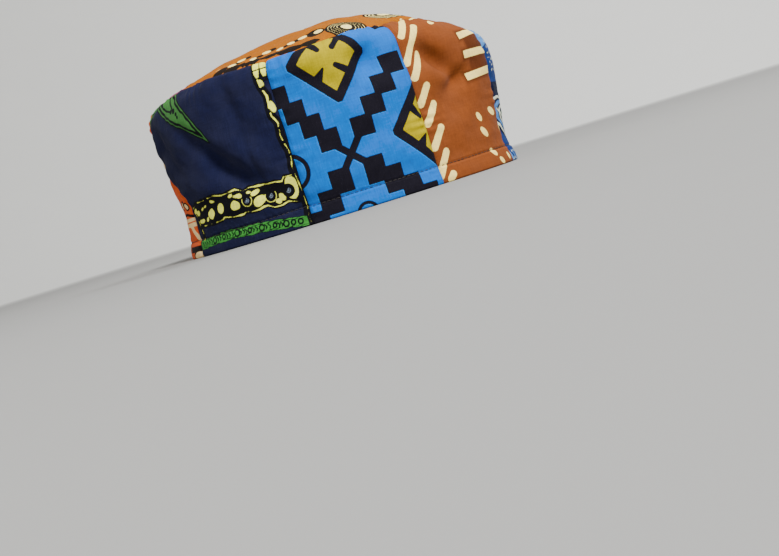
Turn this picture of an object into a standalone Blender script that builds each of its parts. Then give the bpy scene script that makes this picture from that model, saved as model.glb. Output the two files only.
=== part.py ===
"""A patchwork prayer cap, sewn from printed cotton, standing on its rim.

Metres and degrees, +Z up. The origin is the middle of the rim, +X is the wearer's front and +Y the wearer's left.
A point of the side wall is given by its angle round the cap, 0 at the front and 90 at the left, and by its height
along the cloth. A point of the crown is given by its angle and its share of the way from the top to the seam.
"""

from collections import namedtuple
import math

import bmesh
import bpy
from mathutils import Vector

# Driving dimensions
RIM_HALF_LENGTH = 0.100
RIM_HALF_WIDTH = 0.082
RIM_EGG = 0.03
CROWN_TOP = Vector((0.018, 0.0, 0.1075))
CLOTH = 0.0015
LINING = 0.0010
HEM = 0.005

# Seams: the gap between two pieces, how deep their edges roll in, how far from the edge the roll reaches,
# and the first row of faces round the crown's top
SEAM_GAP = 0.0003
CROWN_SEAM_GAP = 0.0004
TOP_SEAM_GAP = 0.0006
SEAM_ROLL = 0.0005
TOP_SEAM_ROLL = 0.0010
SEAM_REACH = 0.0015
CROWN_TIP = 0.004

# The lining: its lift off the floor, its distance from the cloth, and the slack that it cuts the top corner by
LINING_LIFT = 0.0012
LINING_GAP = 0.0009
LINING_CORNER = 0.004

# Faces along each sheet
WALL_COLUMNS = 10
WALL_ROWS = 13
CROWN_COLUMNS = 12
CROWN_ROWS = 10
LINING_COLUMNS = 60
LINING_WALL_ROWS = 12
LINING_CROWN_ROWS = 6
PROFILE_STEPS = 40
WELD = 1e-6

# The wall's section at eight angles: its height along the cloth, how far it leans out, and the turn at its top
Section = namedtuple("Section", "angle height lean turn turn_length")
SECTIONS = (
    Section(angle=0, height=0.0930, lean=3.4, turn=84, turn_length=0.035),
    Section(angle=45, height=0.1005, lean=-1.8, turn=68, turn_length=0.034),
    Section(angle=90, height=0.0890, lean=0.5, turn=24, turn_length=0.016),
    Section(angle=135, height=0.0915, lean=0.5, turn=40, turn_length=0.022),
    Section(angle=180, height=0.0945, lean=2.0, turn=64, turn_length=0.016),
    Section(angle=225, height=0.0940, lean=-1.4, turn=36, turn_length=0.031),
    Section(angle=270, height=0.0890, lean=0.5, turn=24, turn_length=0.016),
    Section(angle=315, height=0.1005, lean=-1.8, turn=68, turn_length=0.034),
)
LEAN_GROWS_OVER = 0.010

# Folds and dents of the wall: centre, depth inwards, half length and half width, and the tilt of the long axis
Fold = namedtuple("Fold", "angle height depth half_length half_width tilt")
FOLDS = (
    Fold(angle=180, height=0.028, depth=0.0040, half_length=0.056, half_width=0.020, tilt=0),
    Fold(angle=0, height=0.023, depth=0.0024, half_length=0.068, half_width=0.026, tilt=0),
    Fold(angle=242, height=0.043, depth=0.0016, half_length=0.020, half_width=0.006, tilt=-39),
    Fold(angle=254, height=0.045, depth=-0.0012, half_length=0.018, half_width=0.006, tilt=-50),
    Fold(angle=271, height=0.068, depth=0.0012, half_length=0.022, half_width=0.008, tilt=-45),
    Fold(angle=304, height=0.072, depth=0.0014, half_length=0.020, half_width=0.008, tilt=-8),
    Fold(angle=319, height=0.068, depth=0.0026, half_length=0.014, half_width=0.010, tilt=-25),
    Fold(angle=323, height=0.041, depth=0.0014, half_length=0.012, half_width=0.009, tilt=20),
    Fold(angle=18, height=0.066, depth=0.0016, half_length=0.018, half_width=0.007, tilt=15),
    Fold(angle=52, height=0.070, depth=0.0022, half_length=0.016, half_width=0.008, tilt=20),
    Fold(angle=76, height=0.040, depth=0.0014, half_length=0.022, half_width=0.007, tilt=48),
    Fold(angle=101, height=0.058, depth=0.0014, half_length=0.022, half_width=0.007, tilt=-40),
    Fold(angle=122, height=0.036, depth=-0.0012, half_length=0.018, half_width=0.007, tilt=42),
    Fold(angle=148, height=0.060, depth=0.0018, half_length=0.016, half_width=0.007, tilt=-30),
    Fold(angle=200, height=0.062, depth=0.0014, half_length=0.018, half_width=0.006, tilt=35),
)
FOLD_RADIUS = 0.091
FOLDS_GROW_OVER = 0.012

# Dents of the crown, by their place seen from above
Dent = namedtuple("Dent", "x y depth half_length half_width tilt")
DENTS = (
    Dent(x=-0.004, y=-0.062, depth=0.0018, half_length=0.026, half_width=0.011, tilt=4),
    Dent(x=0.050, y=-0.030, depth=0.0012, half_length=0.024, half_width=0.009, tilt=-40),
    Dent(x=-0.046, y=-0.026, depth=0.0012, half_length=0.026, half_width=0.009, tilt=32),
    Dent(x=0.010, y=0.060, depth=0.0015, half_length=0.026, half_width=0.011, tilt=-6),
    Dent(x=-0.052, y=0.030, depth=0.0012, half_length=0.022, half_width=0.009, tilt=-36),
    Dent(x=0.056, y=0.034, depth=-0.0010, half_length=0.020, half_width=0.009, tilt=42),
)

# The patches of cloth: where each wall panel and crown panel starts and ends at its lower edge, and its colour
Patch = namedtuple("Patch", "name start end colour")
WALL_PATCHES = (
    Patch("wall_front_indigo", -10, 38, "25305C"),
    Patch("wall_left_ochre", 38, 82, "C9822E"),
    Patch("wall_left_blue", 82, 128, "2A82D2"),
    Patch("wall_left_rust", 128, 170, "A5562A"),
    Patch("wall_back_orange", 170, 214, "C9502A"),
    Patch("wall_right_navy", 214, 265, "1C2444"),
    Patch("wall_right_blue", 265, 308, "2A82D2"),
    Patch("wall_right_rust", 308, 350, "A5562A"),
)
CROWN_PATCHES = (
    Patch("crown_front", -15, 50, "1C2444"),
    Patch("crown_left", 50, 130, "A5562A"),
    Patch("crown_back", 130, 220, "A83A78"),
    Patch("crown_right", 220, 345, "C9822E"),
)
LINING_COLOUR = "17171B"
CLOTH_ROUGHNESS = 0.85

# The wall's seam between navy and orange swings back as it climbs from one height to another
Swing = namedtuple("Swing", "angle turn low high")
BACK_SWING = Swing(angle=214, turn=-24, low=0.026, high=0.062)


def clear_scene():
    """An empty scene to build in"""
    for old in list(bpy.data.objects):
        bpy.data.objects.remove(old, do_unlink=True)


def blend(share):
    """A smooth step from 0 to 1"""
    share = min(max(share, 0.0), 1.0)
    return share * share * (3.0 - 2.0 * share)


def section_at(angle):
    """The wall's section at any angle, blended between the two rows round it"""
    angle %= 360
    rows = SECTIONS + (SECTIONS[0]._replace(angle=360),)
    for before, after in zip(rows, rows[1:]):
        if angle <= after.angle:
            share = blend((angle - before.angle) / (after.angle - before.angle))
            return Section(*(a + (b - a) * share for a, b in zip(before, after)))


def rim_point(angle):
    """A point of the egg-shaped rim"""
    turned = math.radians(angle)
    across = RIM_HALF_WIDTH * math.sin(turned) * (1 - RIM_EGG * math.cos(turned))
    return Vector((RIM_HALF_LENGTH * math.cos(turned), across, 0))


def outward(angle):
    """The level direction that points straight out of the rim"""
    along = rim_point(angle + 0.05) - rim_point(angle - 0.05)
    return Vector((along.y, -along.x, 0)).normalized()


def metres_per_degree(angle):
    """How far round the rim one degree goes"""
    return (rim_point(angle + 0.5) - rim_point(angle - 0.5)).length


def bump(along, up, fold):
    """How deep a fold or dent is at a distance from its centre"""
    tilt = math.radians(fold.tilt)
    lengthwise = along * math.cos(tilt) + up * math.sin(tilt)
    crosswise = up * math.cos(tilt) - along * math.sin(tilt)
    return fold.depth * math.exp(-((lengthwise / fold.half_length) ** 2) - (crosswise / fold.half_width) ** 2)


def fold_depth(angle, height):
    """How far all the folds together press the wall in at a point"""
    total = 0.0
    for fold in FOLDS:
        turned = (angle - fold.angle + 180) % 360 - 180
        total += bump(math.radians(turned) * FOLD_RADIUS, height - fold.height, fold)
    return total * blend((height - HEM) / FOLDS_GROW_OVER)


def wall_point(angle, height):
    """A point of the wall's outer face: up the cloth from the rim, following its lean, turn and folds"""
    section = section_at(angle)
    step = height / PROFILE_STEPS
    inward = fold_depth(angle, height)
    rise = 0.0
    for index in range(PROFILE_STEPS):
        along = (index + 0.5) * step
        leaned = blend((along - HEM) / LEAN_GROWS_OVER)
        turned = blend(1 - (section.height - along) / section.turn_length)
        slope = math.radians((section.lean + section.turn) * turned - section.lean * leaned)
        inward += math.sin(slope) * step
        rise += math.cos(slope) * step
    return rim_point(angle) - outward(angle) * inward + Vector((0, 0, rise))


def crown_point(angle, share):
    """A point of the crown's outer face: a low dome over the wall's top edge"""
    edge = wall_point(angle, section_at(angle).height)
    point = CROWN_TOP.lerp(edge, share)
    point.z = CROWN_TOP.z + (edge.z - CROWN_TOP.z) * share * share
    fade = blend((1 - share) / 0.12)
    for dent in DENTS:
        point.z -= bump(point.x - dent.x, point.y - dent.y, dent) * fade
    return point


def roll(depth, distance):
    """How deep a piece's edge has rolled in, at a distance from the seam"""
    return depth * math.exp(-((distance / SEAM_REACH) ** 2))


def top_seam_roll(angle, distance):
    """How the wall's and the crown's edges move, in and down, at a distance from the seam between them"""
    return (outward(angle) + Vector((0, 0, 1))).normalized() * -roll(TOP_SEAM_ROLL, distance)


def stations(length, first, last, count):
    """Places along a side: a first and a last strip of stated widths, and equal strips between"""
    middle = length - first - last
    return [0.0] + [first + middle * step / (count - 2) for step in range(count - 1)] + [length]


def colour_of(code):
    """A material's linear colour from a six-digit colour code"""
    shares = [int(code[place:place + 2], 16) / 255 for place in (0, 2, 4)]
    return [*(((share + 0.055) / 1.055) ** 2.4 for share in shares), 1]


def cloth_material(name, colour):
    """Dull woven cotton in one colour"""
    material = bpy.data.materials.new(name)
    material.use_nodes = True
    shader = material.node_tree.nodes["Principled BSDF"]
    shader.inputs["Base Color"].default_value = colour_of(colour)
    shader.inputs["Roughness"].default_value = CLOTH_ROUGHNESS
    shader.inputs["Metallic"].default_value = 0
    return material


def sheet(name, columns, rows, place, thickness, colour):
    """A grid laid on a surface by place(column, row), and thickened towards the inside of the cap"""
    grid = bmesh.new()
    bmesh.ops.create_grid(grid, x_segments=columns, y_segments=rows, size=0.5)
    for vert in grid.verts:
        vert.co = place(round((vert.co.x + 0.5) * columns), round((vert.co.y + 0.5) * rows))
    bmesh.ops.remove_doubles(grid, verts=grid.verts, dist=WELD)
    mesh = bpy.data.meshes.new(name)
    grid.to_mesh(mesh)
    grid.free()
    mesh.shade_smooth()
    mesh.materials.append(cloth_material(name, colour))
    piece = bpy.data.objects.new(name, mesh)
    wall = piece.modifiers.new("thickness", "SOLIDIFY")
    wall.thickness = thickness
    wall.offset = -1
    wall.use_even_offset = True
    wall.use_quality_normals = True
    return piece


def seam_angle(angle, height):
    """Where a seam is at a height, by its angle at the rim"""
    if angle != BACK_SWING.angle:
        return angle
    return angle + BACK_SWING.turn * blend((height - BACK_SWING.low) / (BACK_SWING.high - BACK_SWING.low))


def wall_panel(patch):
    """One patch of the side wall, from seam to seam and from the rim to the crown"""
    strip = SEAM_REACH / metres_per_degree((patch.start + patch.end) / 2)

    def height_of(row, angle):
        """A row's height along the cloth"""
        return stations(section_at(angle).height - TOP_SEAM_GAP / 2, HEM, SEAM_REACH, WALL_ROWS)[row]

    def place(column, row):
        """A point of the panel's outer face, with its edges rolled in"""
        start, end = (seam_angle(seam, height_of(row, seam)) for seam in (patch.start, patch.end))
        start += SEAM_GAP / 2 / metres_per_degree(start)
        end -= SEAM_GAP / 2 / metres_per_degree(end)
        turned = stations(end - start, strip, strip, WALL_COLUMNS)[column]
        angle = start + turned
        height = height_of(row, angle)
        to_side = min(turned, end - start - turned) * metres_per_degree(angle)
        point = wall_point(angle, height) - outward(angle) * roll(SEAM_ROLL, to_side)
        return point + top_seam_roll(angle, section_at(angle).height - height)

    return sheet(patch.name, WALL_COLUMNS, WALL_ROWS, place, CLOTH, patch.colour)


def crown_panel(patch):
    """One wedge of the crown, from the top to the round seam, with its two straight sides drawn in"""
    start = patch.start + CROWN_SEAM_GAP / 2 / metres_per_degree(patch.start)
    end = patch.end - CROWN_SEAM_GAP / 2 / metres_per_degree(patch.end)
    strip = SEAM_REACH / metres_per_degree((start + end) / 2)
    turns = stations(end - start, strip, strip, CROWN_COLUMNS)
    middle = math.radians((start + end) / 2)
    drawn_in = Vector((math.cos(middle), math.sin(middle), 0)) * CROWN_SEAM_GAP / 2
    drawn_in /= math.sin(math.radians(end - start) / 2)

    def place(column, row):
        """A point of the wedge's outer face, with its edges rolled in"""
        angle = start + turns[column]
        radius = (crown_point(angle, 1) - CROWN_TOP).length
        length = radius - TOP_SEAM_GAP / 2
        from_seam = TOP_SEAM_GAP / 2 + stations(length, SEAM_REACH, CROWN_TIP, CROWN_ROWS)[row]
        share = 1 - from_seam / radius
        to_side = min(turns[column], end - start - turns[column]) * metres_per_degree(angle) * share
        point = crown_point(angle, share) + drawn_in * (1 - share)
        point.z -= roll(SEAM_ROLL, to_side)
        return point + top_seam_roll(angle, from_seam)

    return sheet(patch.name, CROWN_COLUMNS, CROWN_ROWS, place, CLOTH, patch.colour)


def skin_point(angle, stage):
    """A point of the whole outer face: stage 0 is the rim, 1 the seam and 2 the crown's top"""
    if stage <= 1:
        return wall_point(angle, stage * section_at(angle).height)
    return crown_point(angle, 2 - stage)


def inside_point(angle, stage, depth):
    """A point at a depth under the outer face, along the line square to it"""
    nudge = 0.01
    round_cap = skin_point(angle + nudge, stage) - skin_point(angle - nudge, stage)
    up_cap = skin_point(angle, stage + nudge) - skin_point(angle, stage - nudge)
    return skin_point(angle, stage) - round_cap.cross(up_cap).normalized() * depth


def lining_piece():
    """The lining: one thin bag that follows the cloth inside, from just above the rim to the crown's top"""
    rows = LINING_WALL_ROWS + LINING_CROWN_ROWS + 1
    corner_rows = (LINING_WALL_ROWS, LINING_WALL_ROWS + 1)

    def place(column, row):
        """A point of the lining's outer face"""
        angle = 360 * column / LINING_COLUMNS
        top = section_at(angle).height
        depth = CLOTH + LINING_GAP + (TOP_SEAM_ROLL if row in corner_rows else 0)
        if row == rows:
            return CROWN_TOP - Vector((0, 0, depth))
        if row <= LINING_WALL_ROWS:
            height = LINING_LIFT + (top - LINING_CORNER - LINING_LIFT) * row / LINING_WALL_ROWS
            return inside_point(angle, height / top, depth)
        corner = LINING_CORNER / RIM_HALF_WIDTH
        share = (1 - corner) * (rows - row) / (rows - LINING_WALL_ROWS - 1)
        return inside_point(angle, 2 - share, depth)

    return sheet("lining", LINING_COLUMNS, rows, place, LINING, LINING_COLOUR)


def main():
    """All the pieces, under one empty at the middle of the rim"""
    clear_scene()
    cap = bpy.data.collections.new("prayer_cap")
    bpy.context.scene.collection.children.link(cap)
    middle = bpy.data.objects.new("rim_middle", None)
    middle.empty_display_size = RIM_HALF_WIDTH
    cap.objects.link(middle)
    pieces = [wall_panel(patch) for patch in WALL_PATCHES]
    pieces += [crown_panel(patch) for patch in CROWN_PATCHES]
    pieces.append(lining_piece())
    for piece in pieces:
        piece.parent = middle
        cap.objects.link(piece)


main()
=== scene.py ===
# %% [markdown]
# # A patchwork prayer cap
#
# The cap is a soft round one with a straight side wall and a low domed crown. It is sewn from patches of
# printed cotton and lined with black cotton. This lesson dresses its plain CAD model. Every patch becomes a
# finely meshed cloth with folds, rolled seams and a stitched hem. Its print is drawn with distances, so
# each edge of ink is crisp.
#
# The frame is that of the CAD model, in metres. The origin is the middle of the rim, +X is the wearer's
# front, +Y the wearer's left and +Z up.

# %% The frame
from collections import namedtuple
import math

import bpy
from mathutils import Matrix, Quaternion, Vector
import numpy as np


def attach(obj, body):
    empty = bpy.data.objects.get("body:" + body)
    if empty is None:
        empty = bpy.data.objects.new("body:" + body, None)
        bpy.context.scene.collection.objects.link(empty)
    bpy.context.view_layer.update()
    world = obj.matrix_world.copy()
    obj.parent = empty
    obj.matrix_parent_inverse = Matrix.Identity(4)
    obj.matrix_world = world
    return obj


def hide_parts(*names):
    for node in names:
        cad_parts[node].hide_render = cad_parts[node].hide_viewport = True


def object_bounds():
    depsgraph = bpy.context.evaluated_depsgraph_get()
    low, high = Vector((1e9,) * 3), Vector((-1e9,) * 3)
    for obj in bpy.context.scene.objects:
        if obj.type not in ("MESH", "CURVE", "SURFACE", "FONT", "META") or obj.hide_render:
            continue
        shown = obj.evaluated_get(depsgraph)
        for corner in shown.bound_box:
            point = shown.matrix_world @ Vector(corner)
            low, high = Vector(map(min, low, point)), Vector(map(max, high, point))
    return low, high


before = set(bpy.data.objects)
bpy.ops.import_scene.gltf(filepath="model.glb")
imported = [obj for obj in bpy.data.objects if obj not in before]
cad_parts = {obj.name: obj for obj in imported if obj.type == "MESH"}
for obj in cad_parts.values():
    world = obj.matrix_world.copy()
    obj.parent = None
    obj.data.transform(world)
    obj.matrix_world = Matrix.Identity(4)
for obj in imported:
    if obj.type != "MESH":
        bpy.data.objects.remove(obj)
cad_low, cad_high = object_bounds()
cad_box = [round(1000 * side, 1) for side in cad_high - cad_low]
print(len(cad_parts), "CAD nodes, in a box of", cad_box, "mm")

# %% [markdown]
# ## The shape of the cap
#
# A hatmaker thinks of such a cap as a rim, a wall that rises from it, and a crown. The rim is an egg-shaped
# ring. The wall leans a little, and turns in at its top. Eight sections round the cap say how the wall
# stands, and the folds and dents say where the cloth has been pressed in or out. One seam swings towards
# the back as it climbs.
#
# A cylinder could be pushed into this shape by hand. Formulas with the CAD model's own sizes are chosen
# instead, because the cloth then lies exactly where the solids are, and every patch gets its true edges.

# %% Sizes of the shape
RIM_HALF_LENGTH = 0.100
RIM_HALF_WIDTH = 0.082
RIM_EGG = 0.03
CROWN_TOP = np.array((0.018, 0.0, 0.1075))
PLAIN_HEM = 0.005
LEAN_GROWS_OVER = 0.010
FOLDS_GROW_OVER = 0.012
FOLD_RADIUS = 0.091
DENTS_GROW_OVER = 0.12
PROFILE_STEPS = 40

Section = namedtuple("Section", "angle height lean turn turn_length")
SECTIONS = (
    Section(angle=0, height=0.0930, lean=3.4, turn=84, turn_length=0.035),
    Section(angle=45, height=0.1005, lean=-1.8, turn=68, turn_length=0.034),
    Section(angle=90, height=0.0890, lean=0.5, turn=24, turn_length=0.016),
    Section(angle=135, height=0.0915, lean=0.5, turn=40, turn_length=0.022),
    Section(angle=180, height=0.0945, lean=2.0, turn=64, turn_length=0.016),
    Section(angle=225, height=0.0940, lean=-1.4, turn=36, turn_length=0.031),
    Section(angle=270, height=0.0890, lean=0.5, turn=24, turn_length=0.016),
    Section(angle=315, height=0.1005, lean=-1.8, turn=68, turn_length=0.034),
)
Swing = namedtuple("Swing", "angle turn low high")
BACK_SWING = Swing(angle=214, turn=-24, low=0.026, high=0.062)
print(len(SECTIONS), "sections round the wall")

# %% Folds of the wall and dents of the crown
Fold = namedtuple("Fold", "angle height depth half_length half_width tilt")
FOLDS = (
    Fold(180, 0.028, 0.0040, 0.056, 0.020, 0),
    Fold(0, 0.023, 0.0024, 0.068, 0.026, 0),
    Fold(242, 0.043, 0.0016, 0.020, 0.006, -39),
    Fold(254, 0.045, -0.0012, 0.018, 0.006, -50),
    Fold(271, 0.068, 0.0012, 0.022, 0.008, -45),
    Fold(304, 0.072, 0.0014, 0.020, 0.008, -8),
    Fold(319, 0.068, 0.0026, 0.014, 0.010, -25),
    Fold(323, 0.041, 0.0014, 0.012, 0.009, 20),
    Fold(18, 0.066, 0.0016, 0.018, 0.007, 15),
    Fold(52, 0.070, 0.0022, 0.016, 0.008, 20),
    Fold(76, 0.040, 0.0014, 0.022, 0.007, 48),
    Fold(101, 0.058, 0.0014, 0.022, 0.007, -40),
    Fold(122, 0.036, -0.0012, 0.018, 0.007, 42),
    Fold(148, 0.060, 0.0018, 0.016, 0.007, -30),
    Fold(200, 0.062, 0.0014, 0.018, 0.006, 35),
)
Dent = namedtuple("Dent", "x y depth half_length half_width tilt")
DENTS = (
    Dent(-0.004, -0.062, 0.0018, 0.026, 0.011, 4),
    Dent(0.050, -0.030, 0.0012, 0.024, 0.009, -40),
    Dent(-0.046, -0.026, 0.0012, 0.026, 0.009, 32),
    Dent(0.010, 0.060, 0.0015, 0.026, 0.011, -6),
    Dent(-0.052, 0.030, 0.0012, 0.022, 0.009, -36),
    Dent(0.056, 0.034, -0.0010, 0.020, 0.009, 42),
)
print(len(FOLDS), "folds and", len(DENTS), "dents")

# %% [markdown]
# The functions below give points of the outer face. They take whole arrays, so one call places a whole
# patch. A point of the wall is found as a tailor would mark it: so far round the rim, and so far up along
# the cloth.


# %% The rim and the wall's sections
def blend(share):
    """A smooth step from 0 to 1"""
    share = np.clip(share, 0, 1)
    return share * share * (3 - 2 * share)


def section_at(angle):
    """The wall's section at any angle, blended between the two rows round it"""
    rows = np.array(SECTIONS + (SECTIONS[0]._replace(angle=360),))
    turned = np.mod(angle, 360)
    index = np.searchsorted(rows[1:-1, 0], turned, side="right")
    before, after = rows[index], rows[index + 1]
    share = blend((turned - before[..., 0]) / (after[..., 0] - before[..., 0]))[..., None]
    return Section(*np.moveaxis(before + (after - before) * share, -1, 0))


def rim_point(angle):
    """A point of the egg-shaped rim"""
    turned = np.radians(angle)
    across = RIM_HALF_WIDTH * np.sin(turned) * (1 - RIM_EGG * np.cos(turned))
    return np.stack((RIM_HALF_LENGTH * np.cos(turned), across, 0 * turned), -1)


def outward(angle, nudge=0.05):
    """The level direction that points straight out of the rim"""
    along = rim_point(angle + nudge) - rim_point(angle - nudge)
    out = np.stack((along[..., 1], -along[..., 0], along[..., 2]), -1)
    return out / np.linalg.norm(out, axis=-1, keepdims=True)


def seam_angle(angle, height):
    """Where a seam is at a height, by its angle at the rim"""
    if angle != BACK_SWING.angle:
        return angle + 0 * height
    return angle + BACK_SWING.turn * blend((height - BACK_SWING.low) / (BACK_SWING.high - BACK_SWING.low))


print("the wall is", round(1000 * float(section_at(np.array(20.0)).height), 1), "mm high at 20 degrees")


# %% Points of the outer face
def bump(along, up, fold):
    """How deep a fold or dent is at a distance from its centre"""
    tilt = math.radians(fold.tilt)
    lengthwise = along * math.cos(tilt) + up * math.sin(tilt)
    crosswise = up * math.cos(tilt) - along * math.sin(tilt)
    return fold.depth * np.exp(-((lengthwise / fold.half_length) ** 2) - (crosswise / fold.half_width) ** 2)


def fold_depth(angle, height, folds):
    """How far all the folds together press the wall in"""
    turned = [np.radians((angle - fold.angle + 180) % 360 - 180) for fold in folds]
    total = sum(bump(turn * FOLD_RADIUS, height - fold.height, fold) for turn, fold in zip(turned, folds))
    return total * blend((height - PLAIN_HEM) / FOLDS_GROW_OVER)


def dent_depth(point, dents):
    """How far all the dents together press the crown in"""
    return sum(bump(point[..., 0] - dent.x, point[..., 1] - dent.y, dent) for dent in dents)


def wall_point(angle, height):
    """A point of the wall's outer face: up the cloth from the rim, following its lean, turn and folds"""
    section = section_at(angle)
    step = height / PROFILE_STEPS
    inward = fold_depth(angle, height, FOLDS)
    rise = 0 * height
    for index in range(PROFILE_STEPS):
        along = (index + 0.5) * step
        leaned = blend((along - PLAIN_HEM) / LEAN_GROWS_OVER)
        turned = blend(1 - (section.height - along) / section.turn_length)
        slope = np.radians((section.lean + section.turn) * turned - section.lean * leaned)
        inward = inward + np.sin(slope) * step
        rise = rise + np.cos(slope) * step
    return rim_point(angle) - outward(angle) * inward[..., None] + np.stack((0 * rise, 0 * rise, rise), -1)


def crown_point(angle, share):
    """A point of the crown's outer face: a low dome over the wall's top edge"""
    edge = wall_point(angle, section_at(angle).height)
    point = CROWN_TOP + (edge - CROWN_TOP) * share[..., None]
    domed = CROWN_TOP[2] + (edge[..., 2] - CROWN_TOP[2]) * share ** 2
    point[..., 2] = domed - dent_depth(point, DENTS) * blend((1 - share) / DENTS_GROW_OVER)
    return point


front_top = wall_point(np.array(0.0), np.array(SECTIONS[0].height))
print("the wall's top edge at the front, mm:", (1000 * front_top).round(1))

# %% [markdown]
# ## Cloth in millimetres
#
# From here on a patch is thought of as flat cloth on the cutting table, in millimetres: x runs to the right
# along the rim, and y runs up the cloth. Prints, seams and stitches are all laid out there, because those
# are the sizes that a ruler reads on real cloth.

# %% The cloth's own coordinates
MM = 0.001
RIM_ANGLES = np.arange(-90.0, 450.1, 0.25)
RIM_STEPS = np.diff(rim_point(RIM_ANGLES), axis=0, prepend=rim_point(RIM_ANGLES[:1]))
RIM_LENGTHS = np.cumsum(np.linalg.norm(RIM_STEPS, axis=1)) / MM


def along_rim(angle):
    """How many millimetres an angle lies along the rim"""
    return np.interp(angle, RIM_ANGLES, RIM_LENGTHS)


print("the rim is", round(float(along_rim(360) - along_rim(0))), "mm round")

# %% [markdown]
# ## The relief of sewn cotton
#
# A seam pulls the edge of each patch inwards, and its thread gathers the cloth beside it into small
# puckers. The hem is the rim's edge turned up inside and sewn down 10 mm above it. Its double layer stands
# a little proud, and the stitches pull a groove. Creases and a slight unevenness come from wearing and
# packing the cap.
#
# A cloth simulation could raise such puckers. Here the patches are short and held by thread on every side,
# and each crease has its place, so formulas do it. All of it is real geometry, because it catches the
# light. The relief is given in millimetres, outwards. Creases and wrinkles are rows like the folds and
# dents above, in metres.

# %% Creases of the wall and wrinkles of the crown
CREASES = (
    Fold(241.0, 0.042, 0.0044, 0.026, 0.0054, -45),
    Fold(247.5, 0.048, -0.0016, 0.022, 0.0055, -43),
    Fold(229.0, 0.036, -0.0018, 0.026, 0.0070, -12),
    Fold(252.5, 0.040, 0.0011, 0.014, 0.0022, -82),
    Fold(250.0, 0.073, 0.0024, 0.016, 0.0045, -80),
    Fold(209.0, 0.063, 0.0020, 0.022, 0.0080, -52),
    Fold(226.0, 0.066, 0.0013, 0.020, 0.0045, -34),
    Fold(243.0, 0.086, -0.0016, 0.030, 0.0062, 0),
    Fold(278.0, 0.071, 0.0012, 0.016, 0.0045, -30),
    Fold(294.0, 0.076, 0.0019, 0.020, 0.0080, -40),
    Fold(295.8, 0.0750, 0.0048, 0.0150, 0.0062, 58),
    Fold(283.0, 0.0835, -0.0016, 0.030, 0.0060, 9),
    Fold(288.0, 0.034, 0.0012, 0.018, 0.0060, 30),
    Fold(321.7, 0.0630, 0.0060, 0.0115, 0.0050, -45),
    Fold(319.0, 0.057, -0.0014, 0.012, 0.0060, -20),
    Fold(327.2, 0.0512, 0.0050, 0.011, 0.0048, 23),
    Fold(315.0, 0.042, 0.0010, 0.014, 0.0060, -10),
    Fold(14.0, 0.036, 0.0018, 0.022, 0.0050, 40),
    Fold(28.0, 0.064, -0.0014, 0.018, 0.0060, -30),
    Fold(64.0, 0.056, 0.0020, 0.020, 0.0055, -35),
    Fold(98.0, 0.040, 0.0020, 0.024, 0.0052, 36),
    Fold(112.0, 0.068, 0.0016, 0.018, 0.0050, -42),
    Fold(138.0, 0.032, 0.0016, 0.018, 0.0050, -28),
    Fold(156.0, 0.058, 0.0020, 0.020, 0.0055, -48),
    Fold(186.0, 0.066, 0.0018, 0.018, 0.0050, 50),
)
WRINKLES = (
    Dent(-0.018, -0.050, 0.0012, 0.024, 0.0042, 10),
    Dent(0.032, -0.040, 0.0011, 0.020, 0.0040, -28),
    Dent(-0.052, -0.008, 0.0011, 0.020, 0.0042, 70),
    Dent(0.008, -0.020, 0.0009, 0.026, 0.0046, 22),
    Dent(0.060, 0.006, 0.0010, 0.018, 0.0040, -66),
    Dent(-0.016, 0.028, 0.0010, 0.024, 0.0044, -18),
    Dent(0.038, 0.040, 0.0011, 0.020, 0.0040, 34),
    Dent(-0.042, 0.046, 0.0011, 0.018, 0.0040, 26),
)
print(len(CREASES), "creases and", len(WRINKLES), "wrinkles")

# %% Relief of seams and hem
FULL_TURN = 6.28
SEAM_DEPTH, SEAM_REACH = 0.9, 1.2
PILLOW, PILLOW_REACH = 0.55, 5.5
PUCKER, PUCKER_PITCH, PUCKER_REACH = 0.36, 7.5, 5.0
PUCKER_SWELL, PUCKER_STRAY = 40, 24
TOP_GATHERS = 1.7
HEM_LINE, HEM_WAVER, HEM_WAVER_SIZE = 10.0, 0.35, 60
HEM_PROUD, HEM_STEP, HEM_ROUNDING = 0.35, 1.6, 0.8
HEM_GROOVE, HEM_GROOVE_REACH = 0.6, 0.6
HEM_DRAW, HEM_DRAW_REACH = 1.1, 6.5
HEM_PUCKER, HEM_PUCKER_PITCH, HEM_PUCKER_REACH = 0.12, 4.2, 2.6


def waves(x, y, size, seed):
    """Smooth unevenness, mostly from -1 to 1, with bumps of about one size, from ten waves that cross"""
    chosen = np.random.default_rng(seed)
    total = 0 * x
    for turn, phase, scale in chosen.uniform((0, 0, 0.7), (FULL_TURN, FULL_TURN, 1.6), (10, 3)):
        lengthwise = x * math.cos(turn) + y * math.sin(turn)
        total = total + np.sin(lengthwise * FULL_TURN / (size * scale) + phase)
    return total / 4


def seam_relief(gap, along, seed, gathers=1.0):
    """A seam's rolled edge and puckers, by the gap to it and the place along it"""
    rolled = -SEAM_DEPTH * np.exp(-((gap / SEAM_REACH) ** 2))
    rolled -= PILLOW * np.exp(-((gap / PILLOW_REACH) ** 2))
    strength = PUCKER * gathers * (0.75 + waves(along, 0 * along, PUCKER_SWELL, seed + 50))
    gathered = np.sin(along * FULL_TURN / PUCKER_PITCH + 3 * waves(along, 0 * along, PUCKER_STRAY, seed))
    return rolled + strength * gathered * np.exp(-gap / PUCKER_REACH) * blend(gap / 2)


def hem_line(x):
    """How high the hem's stitches run at a place along a patch"""
    return HEM_LINE + HEM_WAVER * waves(x, 0 * x, HEM_WAVER_SIZE, 5)


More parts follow.
